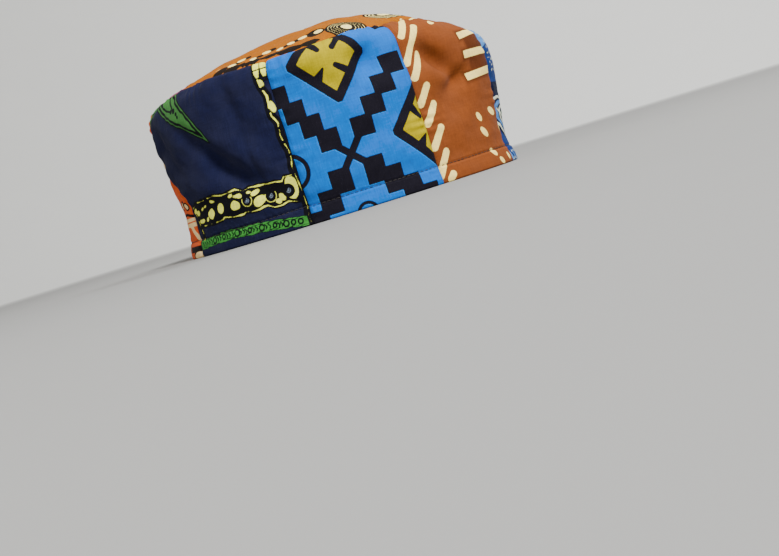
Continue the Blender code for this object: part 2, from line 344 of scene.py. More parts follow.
def hem_relief(x, y, seed):
    """The hem's proud double layer, the groove of its stitches with their puckers, and its rounded edge"""
    line = hem_line(x)
    proud = HEM_PROUD * blend((line - y) / HEM_STEP)
    groove = -HEM_GROOVE * np.exp(-(((y - line) / HEM_GROOVE_REACH) ** 2))
    groove -= HEM_DRAW * np.exp(-(((y - line) / HEM_DRAW_REACH) ** 2)) * blend(y / 8)
    gathered = np.sin(x * FULL_TURN / HEM_PUCKER_PITCH + y * 0.5 + 2 * waves(x, y, 18, seed))
    gathered = gathered * HEM_PUCKER * np.exp(-np.abs(y - line) / HEM_PUCKER_REACH)
    under = np.clip(1 - y / HEM_ROUNDING, 0, 1)
    return proud + groove + gathered - HEM_ROUNDING * (1 - np.sqrt(1 - under ** 2))


print("a hem", HEM_LINE, "mm high, with puckers every", HEM_PUCKER_PITCH, "mm")

# %% [markdown]
# ## Drawing prints with distances
#
# Wax-printed cotton carries flat areas of ink with sharp edges. A painted picture could carry them, but it
# blurs close up and has to travel with the file. Here each shape is a function that says how many
# millimetres a point lies inside it, or outside it as a negative number. Shapes are joined with the greater
# number and cut with the lesser. The numbers are kept on the mesh, one layer for each ink, and the material
# inks what lies inside. Between two mesh points they change evenly, so an edge stays sharp although the
# mesh is coarser.


# %% Spots and blocks
def either(*shapes):
    """What lies in any of the shapes"""
    return np.maximum.reduce(shapes)


def both(*shapes):
    """What lies in all of the shapes"""
    return np.minimum.reduce(shapes)


def disc(x, y, centre, radius):
    """A round spot"""
    return radius - np.hypot(x - centre[0], y - centre[1])


def discs(x, y, rows):
    """Round spots, from rows of x, y and radius"""
    return either(*(disc(x, y, row[:2], row[2]) for row in rows))


def ring(x, y, centre, radius, width):
    """A round line"""
    return width / 2 - np.abs(disc(x, y, centre, radius))


def target_rings(x, y, centre, radii, width):
    """Round lines about one centre"""
    return either(*(ring(x, y, centre, radius, width) for radius in radii))


def oval(x, y, centre, width, height, tilt=0):
    """An oval spot, turned anticlockwise by its tilt"""
    turn = math.radians(tilt)
    across = ((x - centre[0]) * math.cos(turn) + (y - centre[1]) * math.sin(turn)) / (width / 2)
    up = ((y - centre[1]) * math.cos(turn) - (x - centre[0]) * math.sin(turn)) / (height / 2)
    return (1 - np.hypot(across, up)) * min(width, height) / 2


def ovals(x, y, rows):
    """Oval spots, from rows of x, y, width, height and tilt"""
    return either(*(oval(x, y, row[:2], *row[2:]) for row in rows))


def block(x, y, left, bottom, width, height):
    """An upright block"""
    return both(x - left, left + width - x, y - bottom, bottom + height - y)


def diamond(x, y, centre, half_width, half_height):
    """A diamond that stands on its corner"""
    share = 1 - np.abs(x - centre[0]) / half_width - np.abs(y - centre[1]) / half_height
    return share * half_width * half_height / math.hypot(half_width, half_height)


print("a 4 mm spot reaches", float(disc(0.0, 0.0, (1, 0), 2)), "mm past a point 1 mm from its centre")


# %% Lines and outlines
def finger(x, y, tip, root, tip_radius, root_radius):
    """A round-ended finger that may taper"""
    run = np.subtract(root, tip)
    share = np.clip(((x - tip[0]) * run[0] + (y - tip[1]) * run[1]) / (run ** 2).sum(), 0, 1)
    radius = tip_radius + (root_radius - tip_radius) * share
    return radius - np.hypot(x - tip[0] - run[0] * share, y - tip[1] - run[1] * share)


def stroke(x, y, points, width):
    """A brush line through points"""
    return either(*(finger(x, y, a, b, width / 2, width / 2) for a, b in zip(points, points[1:])))


def strokes(x, y, lines, width):
    """Brush lines of one width"""
    return either(*(stroke(x, y, line, width) for line in lines))


def height_at(x, line):
    """How high a line through points runs at x"""
    return np.interp(x, *np.transpose(line))


def area(x, y, corners):
    """The inside of a shape with straight sides"""
    inside = np.zeros(x.shape, bool)
    for (ax, ay), (bx, by) in zip(corners, corners[1:] + corners[:1]):
        crossed = (ay > y) != (by > y)
        inside ^= crossed & (x < ax + (bx - ax) * (y - ay) / ((by - ay) or 1e-9))
    edge = -stroke(x, y, corners + corners[:1], 0)
    return np.where(inside, edge, -edge)


print("a 2 mm line reaches", float(stroke(0.0, 0.0, ((0, 0), (5, 0)), 2)), "mm past its own middle")

# %% [markdown]
# ### The blue print
#
# Dark stair-stepped arms meet in a cross of two bars. Yellow crosses sit in black diamonds: each cross is a
# yellow diamond with a black finger pushed in from each of its four sides. A flight of steps is one block
# repeated by a loop, so a row of the table holds a whole arm.

# %% Blue print with steps and crosses
Steps = namedtuple("Steps", "x y width height right up count")
STEPS = (
    Steps(x=34.0, y=36.0, width=12.0, height=10.8, right=8.6, up=9.1, count=4),
    Steps(x=15.3, y=33.9, width=11.5, height=11.1, right=-6.5, up=9.3, count=4),
    Steps(x=15.0, y=11.0, width=11.7, height=12.9, right=-8.5, up=-9.0, count=3),
    Steps(x=34.0, y=11.0, width=11.3, height=14.2, right=8.2, up=-7.3, count=4),
)
STEP_BARS = (((23.6, 35.3), (35.8, 23.4)), ((36.2, 36.9), (25.3, 23.7)))
STEP_BAR_WIDTH = 3.8
BLUE_RINGS = (((-2.6, 28.6), 8.6, 2.4), ((29.7, -2.2), 5.1, 1.8))
TOP_SPOT = (65.2, 91.5, 13, 9)
CROSSES = ((32.4, 80.2), (75.9, 33.3))
CROSS_HALF, FRAME_HALF, FRAME_OVAL = (16, 18), (22.7, 25.3), (43, 48)
Notch = namedtuple("Notch", "tip root tip_radius root_radius")
NOTCHES = (
    Notch(tip=(-3.8, 4.6), root=(-8.5, 12.0), tip_radius=1.5, root_radius=2.2),
    Notch(tip=(4.2, 4.4), root=(9.6, 10.6), tip_radius=1.6, root_radius=2.0),
    Notch(tip=(3.4, -5.2), root=(11.0, -11.0), tip_radius=1.5, root_radius=2.4),
    Notch(tip=(-3.6, -5.2), root=(-9.5, -12.0), tip_radius=0.5, root_radius=3.6),
)
SLIP = 0.25


def blue_print(x, y):
    """Dark steps, bars, rings and diamonds, and yellow crosses, on blue"""
    steps = [
        block(x, y, row.x + row.right * step, row.y + row.up * step, row.width, row.height)
        for row in STEPS for step in range(row.count)
    ]
    bars = strokes(x, y, STEP_BARS, STEP_BAR_WIDTH)
    rings = [ring(x, y, *row) for row in BLUE_RINGS]
    frames = [both(diamond(x, y, cross, *FRAME_HALF), oval(x, y, cross, *FRAME_OVAL)) for cross in CROSSES]
    fingers = [
        finger(x, y, np.add(cross, row.tip), np.add(cross, row.root), row.tip_radius, row.root_radius)
        for cross in CROSSES for row in NOTCHES
    ]
    yellow = both(either(*(diamond(x, y, cross, *CROSS_HALF) for cross in CROSSES)), -either(*fingers))
    return {"dark": either(*steps, bars, *rings, *frames, block(x, y, *TOP_SPOT)), "yellow": yellow}


def blue_print_with_slip(x, y):
    """The blue print with a pale line where the dark ink has slipped off its resist"""
    return {"pale": blue_print(x + SLIP, y + SLIP)["dark"]} | blue_print(x, y)


print("the blue print has", sum(row.count for row in STEPS), "steps")

# %% [markdown]
# ### The navy print
#
# Plain navy cotton carries a green leaf, a braid of cream shapes on black, a green band by the hem and a
# wavy cream line up one side. The braid's shapes are a short list of ovals, and all its edges stray a
# little, as hand-cut blocks print them.

# %% The leaf
Bead = namedtuple("Bead", "x y width height tilt")
LEAF = [
    (-34, 74), (-26, 80), (-19, 87.5), (-12, 88.5), (2, 79.6), (10.6, 74.6), (19.3, 70.2), (28.2, 65.2),
    (36, 59.8), (38.8, 58), (34.9, 65), (30.4, 72.1), (24.5, 79), (16.5, 86.5), (9, 94), (0, 102),
    (-34, 102),
]
LEAF_LINE, LEAF_BLADE, VEIN_WIDTH = 0.8, 2.2, 1.2
VEINS = (
    ((-14, 96), (-6, 89), (3.5, 84), (10, 82)),
    ((0, 97), (7, 88), (12.5, 82.5)),
    ((-22, 96), (-12, 92.5), (-6, 89)),
)
VEIN_SPOTS = ((13.6, 81.6, 1.6), (16.2, 79.4, 1.1), (17.2, 77.4, 1.0), (10.2, 82, 1.4))


def hand(x, y, seed):
    """How far a hand-cut line strays"""
    return 0.22 * waves(x, y, 5, seed)


def leaf_inks(x, y):
    """The leaf's green and the dark under it: a fine green outline, and a blade with dark veins and spots"""
    leaf = area(x, y, LEAF) + hand(x, y, 3)
    veins = either(strokes(x, y, VEINS, VEIN_WIDTH), discs(x, y, VEIN_SPOTS))
    green = either(both(leaf, LEAF_LINE - leaf), both(leaf - LEAF_BLADE, -veins))
    return green, leaf + LEAF_LINE


print("the leaf has", len(LEAF), "corners and", len(VEINS), "veins")

# %% The braid
BRAID_TOP = (
    (5, 27.5), (11, 29.9), (17.5, 29.6), (24.5, 30.1), (31, 30.4), (36.5, 29.2), (40.5, 29.4), (46, 30),
    (50.5, 28), (54, 29), (59, 28.4), (67, 27.5), (71, 27.3), (75, 26.4), (77, 28.5), (81, 28),
)
BRAID_BOTTOM = (
    (6, 16.8), (15.5, 16.3), (22.5, 16.2), (31.5, 16.7), (33.5, 17.6), (40.5, 16.2), (47, 16.1), (49, 16.9),
    (53, 16), (57.5, 16), (60.5, 16.7), (63, 16.7), (66.5, 14.7), (71, 14.6), (75, 15.6), (79.5, 14.2),
)
BEADS = (
    Bead(6.6, 25.5, 5.2, 1.9, 22), Bead(10.0, 24.2, 4.5, 2.9, 19), Bead(11.3, 19.2, 6.8, 2.2, 1),
    Bead(16.4, 25.5, 2.5, 1.1, 23), Bead(19.8, 26.5, 3.7, 1.1, 22), Bead(18.6, 19.4, 2.8, 1.6, 38),
    Bead(23.4, 21.3, 6.6, 4.9, 23), Bead(27.8, 27.6, 3.3, 1.8, -11), Bead(32.8, 22.7, 6.1, 5.0, 25),
    Bead(41.7, 27.3, 3.1, 1.5, 20), Bead(43.6, 21.8, 6.0, 5.2, 3), Bead(46.6, 26.2, 5.0, 2.5, -10),
    Bead(53.6, 26.4, 3.0, 1.4, -8), Bead(57.2, 25.3, 5.0, 2.8, 8), Bead(59.0, 20.4, 8.2, 5.2, 24),
    Bead(69.4, 17.4, 4.0, 2.6, -12), Bead(72.4, 18.8, 3.2, 4.6, 30), Bead(79.0, 21.8, 7.0, 12.4, -8),
)
EYES = ((51.6, 22.4, 2.5), (66.0, 21.2, 2.9), (76.8, 21.0, 3.1))
PUPIL, GLEAM = 0.55, 1.2
BRAID_LEFT, BRAID_RIGHT, LAST_LOOP = 4.5, 86, 73.5


def braid_inks(x, y):
    """The braid: its black ground, its cream lines and beads, and its eyes"""
    stray = hand(x, y, 4)
    top, bottom = height_at(x, BRAID_TOP), height_at(x, BRAID_BOTTOM)
    ground = both(top + 1.2 - y, y - bottom + 1.1, x - BRAID_LEFT, BRAID_RIGHT - x) + stray
    half_width = 0.27 + 0.20 * waves(x, 0 * x, 7, 6) - 0.5 * (waves(x, 0 * x, 11, 7) > 0.7)
    lines = strokes(x, y, (BRAID_TOP, BRAID_BOTTOM), 0) + half_width
    cups = [both(ring(x, y, eye[:2], eye[2] + 0.5, 0.45), eye[1] + 1.5 - y) for eye in EYES[:2]]
    gleams = [both(ring(x, y, eye[:2], GLEAM, 0.4), x - y - eye[0] + eye[1] + 1) for eye in EYES]
    inside = np.where(x < LAST_LOOP, both(top - 0.5 - y, y - bottom - 1.1), y - bottom - 1.5)
    beads = both(ovals(x, y, BEADS) + 1.2 * stray, -discs(x, y, EYES) - 0.5, inside)
    pupils = discs(x, y, [(*eye[:2], PUPIL) for eye in EYES])
    return ground, either(beads, *cups, lines), either(*gleams, pupils)


print("the navy braid has", len(BEADS), "beads and", len(EYES), "eyes")

# %% The green band by the hem
BAND_TOP = ((4, 9.0), (21, 10.0), (35, 10.4), (47, 9.6), (58, 8.9), (68, 7.7), (77, 6.3), (81, 5.7))
BAND_HEIGHT, BAND_LEFT, BAND_RIGHT = 5.0, 3.2, 82.4
BAND_RINGS = (
    (19.2, 7.2, 1.5), (27.6, 7.7, 1.2), (38.4, 7.6, 1.7), (47.5, 7.1, 1.2), (55.5, 6.5, 1.5),
    (63.6, 5.7, 1.1), (70.3, 4.8, 1.5), (74.4, 4.4, 1.2), (78.3, 3.8, 1.3),
)
BAND_TICKS = (
    6.5, 9.0, 11.4, 13.6, 16.2, 22.4, 24.6, 30.4, 32.8, 35.2,
    41.2, 43.4, 45.2, 50.2, 52.4, 58.4, 60.6, 66.2, 68.0,
)


def tick_line(x, middle):
    """A bent tick of the green band"""
    return (x - 0.9, middle + 1.2), (x + 0.4, middle), (x - 0.3, middle - 1.0)


def band_inks(x, y):
    """The band by the hem: its dark ground, and its green with a border line, rings and ticks left out"""
    top = height_at(x, BAND_TOP)
    band = both(top - y, y - top + BAND_HEIGHT, x - BAND_LEFT, BAND_RIGHT - x) + hand(x, y, 8)
    rings = [ring(x, y, row[:2], row[2], 0.85) for row in BAND_RINGS]
    middles = height_at(BAND_TICKS, BAND_TOP) - 2.6
    ticks = strokes(x, y, [tick_line(*place) for place in zip(BAND_TICKS, middles)], 0.75)
    border = 0.16 - np.abs(np.abs(top - y - BAND_HEIGHT / 2) - 1.8)
    return band, both(band, -either(*rings, ticks, border) + 0.3 * hand(x, y, 9))


print("the green band has", len(BAND_RINGS), "rings and", len(BAND_TICKS), "ticks")

# %% The side line, and the whole navy print
SIDE_LINE = (
    (79, 79.5), (79.4, 75.5), (81.2, 70.5), (80.5, 64.5), (80.4, 60), (82.6, 55.5), (81.8, 49.5), (82.6, 44),
    (83.6, 40), (83.4, 35.5), (82.6, 31.5), (83.2, 26.5), (83.7, 15.5), (83.3, 5), (83.6, -2),
)
LEFT_LINE = ((4.2, 28), (5.5, 24), (7.6, 18), (8.6, 12), (7.4, 9))
STRIP_BLOCKS = (Bead(79.2, 88.0, 3.4, 16, 0), Bead(83.0, 88.0, 3.2, 16, 0))
STRIP_FOOT, STRIP_CUT = 80.6, ((76, 84.5), (86, 85.5))
STRIP_SPOTS = (Bead(82.2, 64.5, 3.0, 6.4, 8), Bead(80.4, 77.6, 2.2, 3.6, 20))


def side_line(x, y):
    """The wavy cream line up one side: thin below, thicker above and broken here and there"""
    half_width = np.interp(y, (34, 44, 60, 66), (0.10, 0.26, 0.32, 0.52)) + 0.16 * waves(0 * x, y, 6, 23)
    broken = (np.mod(y + 2 * np.sin(y / 7), 9) < 1.6) & (y < 76)
    return stroke(x, y, SIDE_LINE, 0) + half_width - 0.6 * broken


def strip(x, y):
    """The strip of cream blocks above the side line, and the spots beside it"""
    blocks = both(ovals(x, y, STRIP_BLOCKS), y - STRIP_FOOT, -stroke(x, y, STRIP_CUT, 0.8))
    return either(blocks, ovals(x, y, STRIP_SPOTS))


def navy_print(x, y):
    """Green leaf and band, black braid with cream beads, and the wavy side line, on navy"""
    braid_ground, braid_cream, eyes = braid_inks(x, y)
    leaf, leaf_ground = leaf_inks(x, y)
    band, green = band_inks(x, y)
    strip_ground = both(x - 76.6, y - 78)
    line_grounds = either(stroke(x, y, SIDE_LINE, 4.6), stroke(x, y, LEFT_LINE, 3.6))
    left_dashes = stroke(x, y, LEFT_LINE, 0.5) - 0.4 * (np.mod(y, 5) < 2.4)
    return {
        "dark": either(braid_ground, leaf_ground, band + 0.3, strip_ground, line_grounds),
        "leaf": leaf,
        "green": green,
        "cream": either(braid_cream, side_line(x, y), strip(x, y), left_dashes),
        "smoke": eyes,
    }


print("the side line has", len(SIDE_LINE), "bends")

# %% [markdown]
# ### The rust print
#
# Cream brush dashes fan up one side, three cream bars lie across the other, and a few seed shapes are
# strewn below. A darker brown shade lies between the bars. The print repeats, so the hidden patches can be
# cut from the same cloth.

# %% Rust print with dashes, bars and seeds
RUST_REPEAT, RUST_START = (67.0, 106.0), 2
DASH_WIDTH, BAR_WIDTH = 3.9, 4.1
DASHES = (
    ((14.6, 97), (3.4, 81)), ((14.4, 85.5), (1.4, 66.5)), ((10.6, 69.6), (2.2, 57.6)),
    ((7.4, 52), (1.2, 43.4)), ((9.0, 42), (1.6, 32.6)), ((8.4, 29), (1.2, 19.6)),
    ((7.2, 16), (-0.8, 4)), ((6.6, 3.6), (4.4, 1.4)),
)
BARS = (((40.4, 74.0), (63.0, 77.4)), ((39.4, 63.2), (63.6, 64.4)), ((38.4, 51.2), (62.4, 53.4)))
SEEDS = (
    Bead(38.5, 28.9, 6.0, 3.7, -53), Bead(53.4, 30.3, 8.4, 4.4, -22), Bead(38.8, 20.2, 7.2, 3.9, -49),
    Bead(41.6, 8.4, 6.0, 3.8, -46), Bead(46.0, 2.6, 5.0, 3.2, -45), Bead(62.9, 18.8, 7.0, 3.6, -55),
    Bead(55.8, 4.0, 4.6, 2.8, -70), Bead(25.5, 96.5, 6.5, 3.8, -35), Bead(30.0, 87.5, 6.8, 3.8, 30),
)
BROWN_SHADE = (43, 54, 24, 21)


def bar(x, y, left, right):
    """A slanted bar with upright ends"""
    length = right[0] - left[0]
    levelled = y + (left[1] - right[1]) / length * (x - left[0])
    return block(x, levelled, left[0], left[1] - 2, length, BAR_WIDTH)


def rust_print(x, y):
    """Cream dashes, bars and seeds with a brown shade between the bars, on rust"""
    x, y = (np.mod(value + RUST_START, size) - RUST_START for value, size in zip((x, y), RUST_REPEAT))
    bars = either(*(bar(x, y, *ends) for ends in BARS))
    cream = either(strokes(x, y, DASHES, DASH_WIDTH), bars, ovals(x, y, SEEDS))
    return {"brown": either(block(x, y, *BROWN_SHADE), bars + 1.2), "cream": cream}


print("the rust print repeats every", RUST_REPEAT, "mm")

# %% [markdown]
# ### The other prints
#
# Only slivers of these patches show in the photograph. The ochre cloth has large black and cream targets
# with strings of beads between them, the orange one cream petals outlined in black, the indigo one light
# flecks, leaves and stripes, and the magenta one rings of dots. The parts that nobody sees carry on the
# same rhythm.

# %% Ochre print with targets and strings of beads
OCHRE_REPEAT, OCHRE_START, OCHRE_STAGGER = (76.0, 46.0), (20, 23), 31
TARGET_RADIUS, TARGET_RINGS = 11.5, (9.7, 7.8, 5.9)
SMALL_SPOT, SMALL_RADIUS, BEAD_PITCH = (35, 17), 5.4, 5.6
BEAD_STRINGS = [(17 + BEAD_PITCH * n, 2.2 * math.sin(n * 0.7)) for n in range(7)]
BEAD_STRINGS += [(-14 + BEAD_PITCH * n, 18 + 1.6 * math.sin(n * 0.9)) for n in range(8)]


def ochre_print(x, y):
    """Targets with strings of cream beads between them, and a dark dot by each bead, on ochre"""
    rows = np.floor((y + OCHRE_START[1]) / OCHRE_REPEAT[1])
    x = np.mod(x + OCHRE_START[0] + rows * OCHRE_STAGGER, OCHRE_REPEAT[0]) - OCHRE_START[0]
    y = np.mod(y + OCHRE_START[1], OCHRE_REPEAT[1]) - OCHRE_START[1]
    dots = discs(x, y, [(bead[0] + 2.8, bead[1] + 0.4, 1.1) for bead in BEAD_STRINGS])
    dark = either(disc(x, y, (0, 0), TARGET_RADIUS), disc(x, y, SMALL_SPOT, SMALL_RADIUS), dots)
    rings = either(target_rings(x, y, (0, 0), TARGET_RINGS, 0.6), disc(x, y, (0, 0), 3.4))
    beads = either(*(oval(x, y, bead, 4.4, 3.8) for bead in BEAD_STRINGS), disc(x, y, SMALL_SPOT, 2.2))
    return {"dark": dark, "cream": either(rings, beads)}


print("the ochre print repeats every", OCHRE_REPEAT, "mm")

# %% The crown's cut of the ochre print
CROWN_TARGET, CROWN_TARGET_RINGS = (35, -57), (9.9, 8.2, 6.5, 4.9)
CROWN_BEADS = (
    (11, -58.5), (4.6, -61), (-1.4, -64), (-9.5, -61), (-16.5, -65.5), (-24, -60), (-29, -63.5), (-38, -57),
    (52, -49), (64, -34),
)
# Dark ovals along the round seam: painted shade where the valley between crown and wall casts its shadow
CROWN_PAINTED_SHADES = ((-36, -65, 9), (-27, -69, 12), (-16, -71, 10), (-6, -71.5, 9), (5, -73, 13), (16, -71, 8))


def crown_ochre_print(x, y):
    """A big target, a spot, a string of beads and painted shade along the seam, and the ochre print's repeat
    beyond
    """
    repeat = ochre_print(x + 24, y + 20)
    beyond = y + 38 - 4 * np.sin(x / 15)
    target = disc(x, y, CROWN_TARGET, TARGET_RADIUS)
    rings = either(target_rings(x, y, CROWN_TARGET, CROWN_TARGET_RINGS, 0.36), disc(x, y, CROWN_TARGET, 2.9))
    beads = [oval(x, y, bead, 3.8, 5.2, 10 * bead[0]) for bead in CROWN_BEADS]
    dots = discs(x, y, [(bead[0] + 3.4, bead[1] + 1, 2.3) for bead in CROWN_BEADS])
    # The dark ovals by the seam are painted shade laid into the dark ink, not print
    painted_shades = ovals(x, y, [(*shade[:2], shade[2] + 2, 7.5, 6) for shade in CROWN_PAINTED_SHADES]) + 2 * hand(x, y, 25)
    dark = either(both(repeat["dark"], beyond), target, disc(x, y, (18.6, -57.6), 5.0), painted_shades, dots)
    cream = either(both(repeat["cream"], beyond), rings, disc(x, y, (19.8, -57), 2.5), *beads)
    return {"dark": dark, "cream": cream}


print("the crown's own cut has", len(CROWN_BEADS), "beads")

# %% Orange print
ORANGE_REPEAT = (38, 44)
PETALS = ((0, 3, 30, 10, -14), (4, -10, 22, 8, 52), (-13, -8, 9, 6, 20))
CORNER_SPOTS = ((51, 31, 6, 3, 25), (59, 30, 5, 3, -20), (62, 1, 14, 5.5, 0))
SLANT = [(57.5, 18.5), (62, 18.5), (67, 9.5), (63.5, 9.5)]


def orange_print(x, y):
    """Cream petals with black outlines and an orange vein, and cream bands in one corner, on orange red"""
    u, v = np.mod(x - 40, ORANGE_REPEAT[0]) - 19, np.mod(y + 6, ORANGE_REPEAT[1]) - 22
    corner = both(x - 44, 36 - y)
    petals = both(ovals(u, v, PETALS), -corner - 1.5)
    hoops = both(ring(u, v, (14, 16), 4.5, 1.4), -corner)
    veins = either(stroke(u, v, ((-12, 5.6), (12, 0.4)), 1.2), stroke(u, v, ((-1, -17), (8, -4)), 1.0))
    band = both(block(x, y, 46, 18, 30, 5), -stroke(x, y, ((46, 20.4), (76, 21)), 0.8))
    spots = ovals(x, y, CORNER_SPOTS)
    rules = either(stroke(x, y, ((45, 24.5), (57, 25.5), (69, 23)), 1.6), block(x, y, 46, 3.6, 30, 3.4))
    return {
        "dark": either(both(petals + 1.3, 1.6 - petals), hoops, rules, spots + 0.9),
        "cream": either(both(petals, -veins), band, area(x, y, SLANT), spots),
    }


print("the orange print repeats every", ORANGE_REPEAT, "mm")

# %% Indigo and magenta prints
FLECK_PITCH = (3.6, 3.4)
DOT_RING_REPEAT, DOTS_ROUND = 26, 8


def indigo_print(x, y):
    """Light flecks in rows, stripes by the hem and a green and cream leaf, on indigo"""
    u = np.mod(x + 1.3 * waves(x, y, 9, 21) + 1.5 * np.floor(y / FLECK_PITCH[1]), FLECK_PITCH[0]) - 1.8
    v = np.mod(y + 1.1 * waves(x, y, 8, 22), FLECK_PITCH[1]) - 1.7
    places = either(both(y - 50, x - 2), both(7 - y, x - 1), both(x - 44, 40 - y))
    flecks = both(oval(u, v, (0, 0), 1.8, 0.9, 30), places)
    stripes = both(0.7 - np.abs(np.mod(x + 0.3 * y, 4.2) - 2.1), 6.5 - y)
    leaf = oval(x, y, (22, 22), 58, 24, -24)
    rib = stroke(x, y, ((2, 31), (42, 12)), 1.0)
    lines = either(both(leaf, 1.0 - leaf), both(leaf - 4.2, 5.2 - leaf), rib)
    glow = both(y - 66 - 4 * np.sin(x / 9), 3 + 0 * x)
    return {
        "dark": either(both(y - 32, 46 - y), leaf + 1.5),
        "sky": either(stripes, glow, both(leaf - 1.9, 3.3 - leaf)),
        "green": both(leaf - 6.4, 2.4 - np.abs(np.mod(x, 9) - 4.5)),
        "cream": either(flecks, lines),
    }


def magenta_print(x, y):
    """Rings of pale dots round plum centres, on magenta"""
    half = DOT_RING_REPEAT / 2
    u = np.mod(x + half * np.floor(y / DOT_RING_REPEAT), DOT_RING_REPEAT) - half
    v = np.mod(y, DOT_RING_REPEAT) - half
    near = np.mod(np.arctan2(v, u), 2 * math.pi / DOTS_ROUND) - math.pi / DOTS_ROUND
    reach = np.hypot(u, v)
    dots = 1.4 - np.hypot(reach * np.cos(near) - 8.4, reach * np.sin(near))
    centres = either(disc(u, v, (0, 0), 4.6), ring(u, v, (0, 0), 12.0, 1.0))
    return {"dark": centres, "cream": either(dots, disc(u, v, (0, 0), 1.8))}


print("the magenta print has", DOTS_ROUND, "dots to a ring")

# %% [markdown]
# ## Cotton
#
# All the patches are plain-woven cotton, so one recipe makes every material. The ground colour is dyed
# through, and it varies a little in clouds, as wax-printed cloth does. The inks lie over it in order, with
# edges that are slightly frayed by the weave. Slubs, which are thicker stretches of thread, run both ways,
# and at close range the weave itself shows.
#
# One flat colour would do from afar. Close by it looks like plastic, so the recipe varies colour, roughness
# and bump together. Raw cotton is matt, with a faint sheen from its loose fibres.

# %% Node helpers
CLOTH_SPAN = 110.0


def dye(red, green, blue):
    """A colour from its linear shares"""
    return (red, green, blue, 1)


def new_material(name):
    """A new material, its node tree, its shader and the ways to place a pattern on it"""
    material = bpy.data.materials.new(name)
    material.use_nodes = True
    tree = material.node_tree
    return material, tree, tree.nodes["Principled BSDF"], tree.nodes.new("ShaderNodeTexCoord").outputs


def feed(tree, socket, value):
    """Links an output to a socket, or sets the socket's own value"""
    if isinstance(value, bpy.types.NodeSocket):
        tree.links.new(value, socket)
    else:
        socket.default_value = value


def maths(tree, operation, first, second=0.0):
    """One step of arithmetic"""
    node = tree.nodes.new("ShaderNodeMath")
    node.operation = operation
    feed(tree, node.inputs[0], first)
    feed(tree, node.inputs[1], second)
    return node.outputs[0]


def scaled(tree, vector, factors):
    """A vector with each of its parts multiplied"""
    node = tree.nodes.new("ShaderNodeVectorMath")
    node.operation = "MULTIPLY"
    feed(tree, node.inputs[0], vector)
    feed(tree, node.inputs[1], factors)
    return node.outputs[0]


def noise(tree, vector, detail=2.0):
    """Cloudy noise from 0 to 1, with clouds of about one unit"""
    node = tree.nodes.new("ShaderNodeTexNoise")
    feed(tree, node.inputs["Vector"], vector)
    node.inputs["Scale"].default_value = 1.0
    node.inputs["Detail"].default_value = detail
    return node.outputs[0]


def inked(tree, share, under, ink):
    """One colour over another, by a share"""
    node = tree.nodes.new("ShaderNodeMix")
    node.data_type = "RGBA"
    for socket, value in ((0, share), (6, under), (7, ink)):
        feed(tree, node.inputs[socket], value)
    return node.outputs[2]


def stepped(tree, value, low, high):
    """A smooth step from 0 to 1 between two values"""
    node = tree.nodes.new("ShaderNodeMapRange")
    node.interpolation_type = "SMOOTHSTEP"
    feed(tree, node.inputs["Value"], value)
    node.inputs["From Min"].default_value = low
    node.inputs["From Max"].default_value = high
    return node.outputs[0]


def kept(tree, name):
    """A number that is kept on the mesh"""
    node = tree.nodes.new("ShaderNodeAttribute")
    node.attribute_name = name
    return node.outputs["Fac"]


print("helpers for nodes are ready, and one unit of a UV map is", CLOTH_SPAN, "mm")

# %% The recipe for cotton
THREAD = 0.42
SLUB_LENGTH, SLUB_WIDTH = 6.0, 0.9
CLOUD_SIZE, CLOUD_SHADING = 14, 0.36
FRAYS_PER_MM, FRAY = 2.4, 0.6
FADED, LIFTED = 0.88, 0.003
SHARP_EDGE, SOFT_EDGE = 0.16, 1.6
WEAVE_BUMP, SLUB_BUMP = 0.04, 0.42
MATT, SLUB_MATT = 0.74, 0.2


def slubs_in(tree, cloth):
    """Thicker stretches of thread that run up and across the cloth"""
    warp = noise(tree, scaled(tree, cloth, (1 / SLUB_WIDTH, 1 / SLUB_LENGTH, 1 / SLUB_WIDTH)))
    weft = noise(tree, scaled(tree, cloth, (1 / SLUB_LENGTH, 1 / SLUB_WIDTH, 1 / SLUB_LENGTH)))
    return maths(tree, "ADD", maths(tree, "MULTIPLY", warp, 0.6), maths(tree, "MULTIPLY", weft, 0.4))


def printed_colour(tree, cloth, clouds, ground, inks, soft):
    """The ground colour, a little faded in clouds, and the inks over it with frayed edges"""
    frays = noise(tree, scaled(tree, cloth, [FRAYS_PER_MM] * 3))
    fray = maths(tree, "MULTIPLY", maths(tree, "SUBTRACT", frays, 0.5), FRAY)
    faded = dye(*(FADED * share + LIFTED for share in ground[:3]))
    colour = inked(tree, stepped(tree, clouds, 0.35, 0.65), ground, faded)
    for ink, code in inks.items():
        edge = SOFT_EDGE if ink in soft else SHARP_EDGE
        share = stepped(tree, maths(tree, "ADD", kept(tree, ink), fray), -edge, edge)
        colour = inked(tree, share, colour, code)
    return colour


def woven_bump(tree, cloth, slubs):
    """The relief of the weave and the slubs"""
    threads = tree.nodes.new("ShaderNodeSeparateXYZ")
    feed(tree, threads.inputs[0], scaled(tree, cloth, [math.pi / THREAD] * 3))
    over = maths(tree, "MULTIPLY", *(maths(tree, "SINE", threads.outputs[axis]) for axis in (0, 1)))
    weave, lumps = maths(tree, "MULTIPLY", over, WEAVE_BUMP), maths(tree, "MULTIPLY", slubs, SLUB_BUMP)
    bumps = tree.nodes.new("ShaderNodeBump")
    bumps.inputs["Distance"].default_value = MM
    bumps.inputs["Strength"].default_value = 0.6
    feed(tree, bumps.inputs["Height"], maths(tree, "ADD", weave, lumps))
    return bumps.outputs[0]


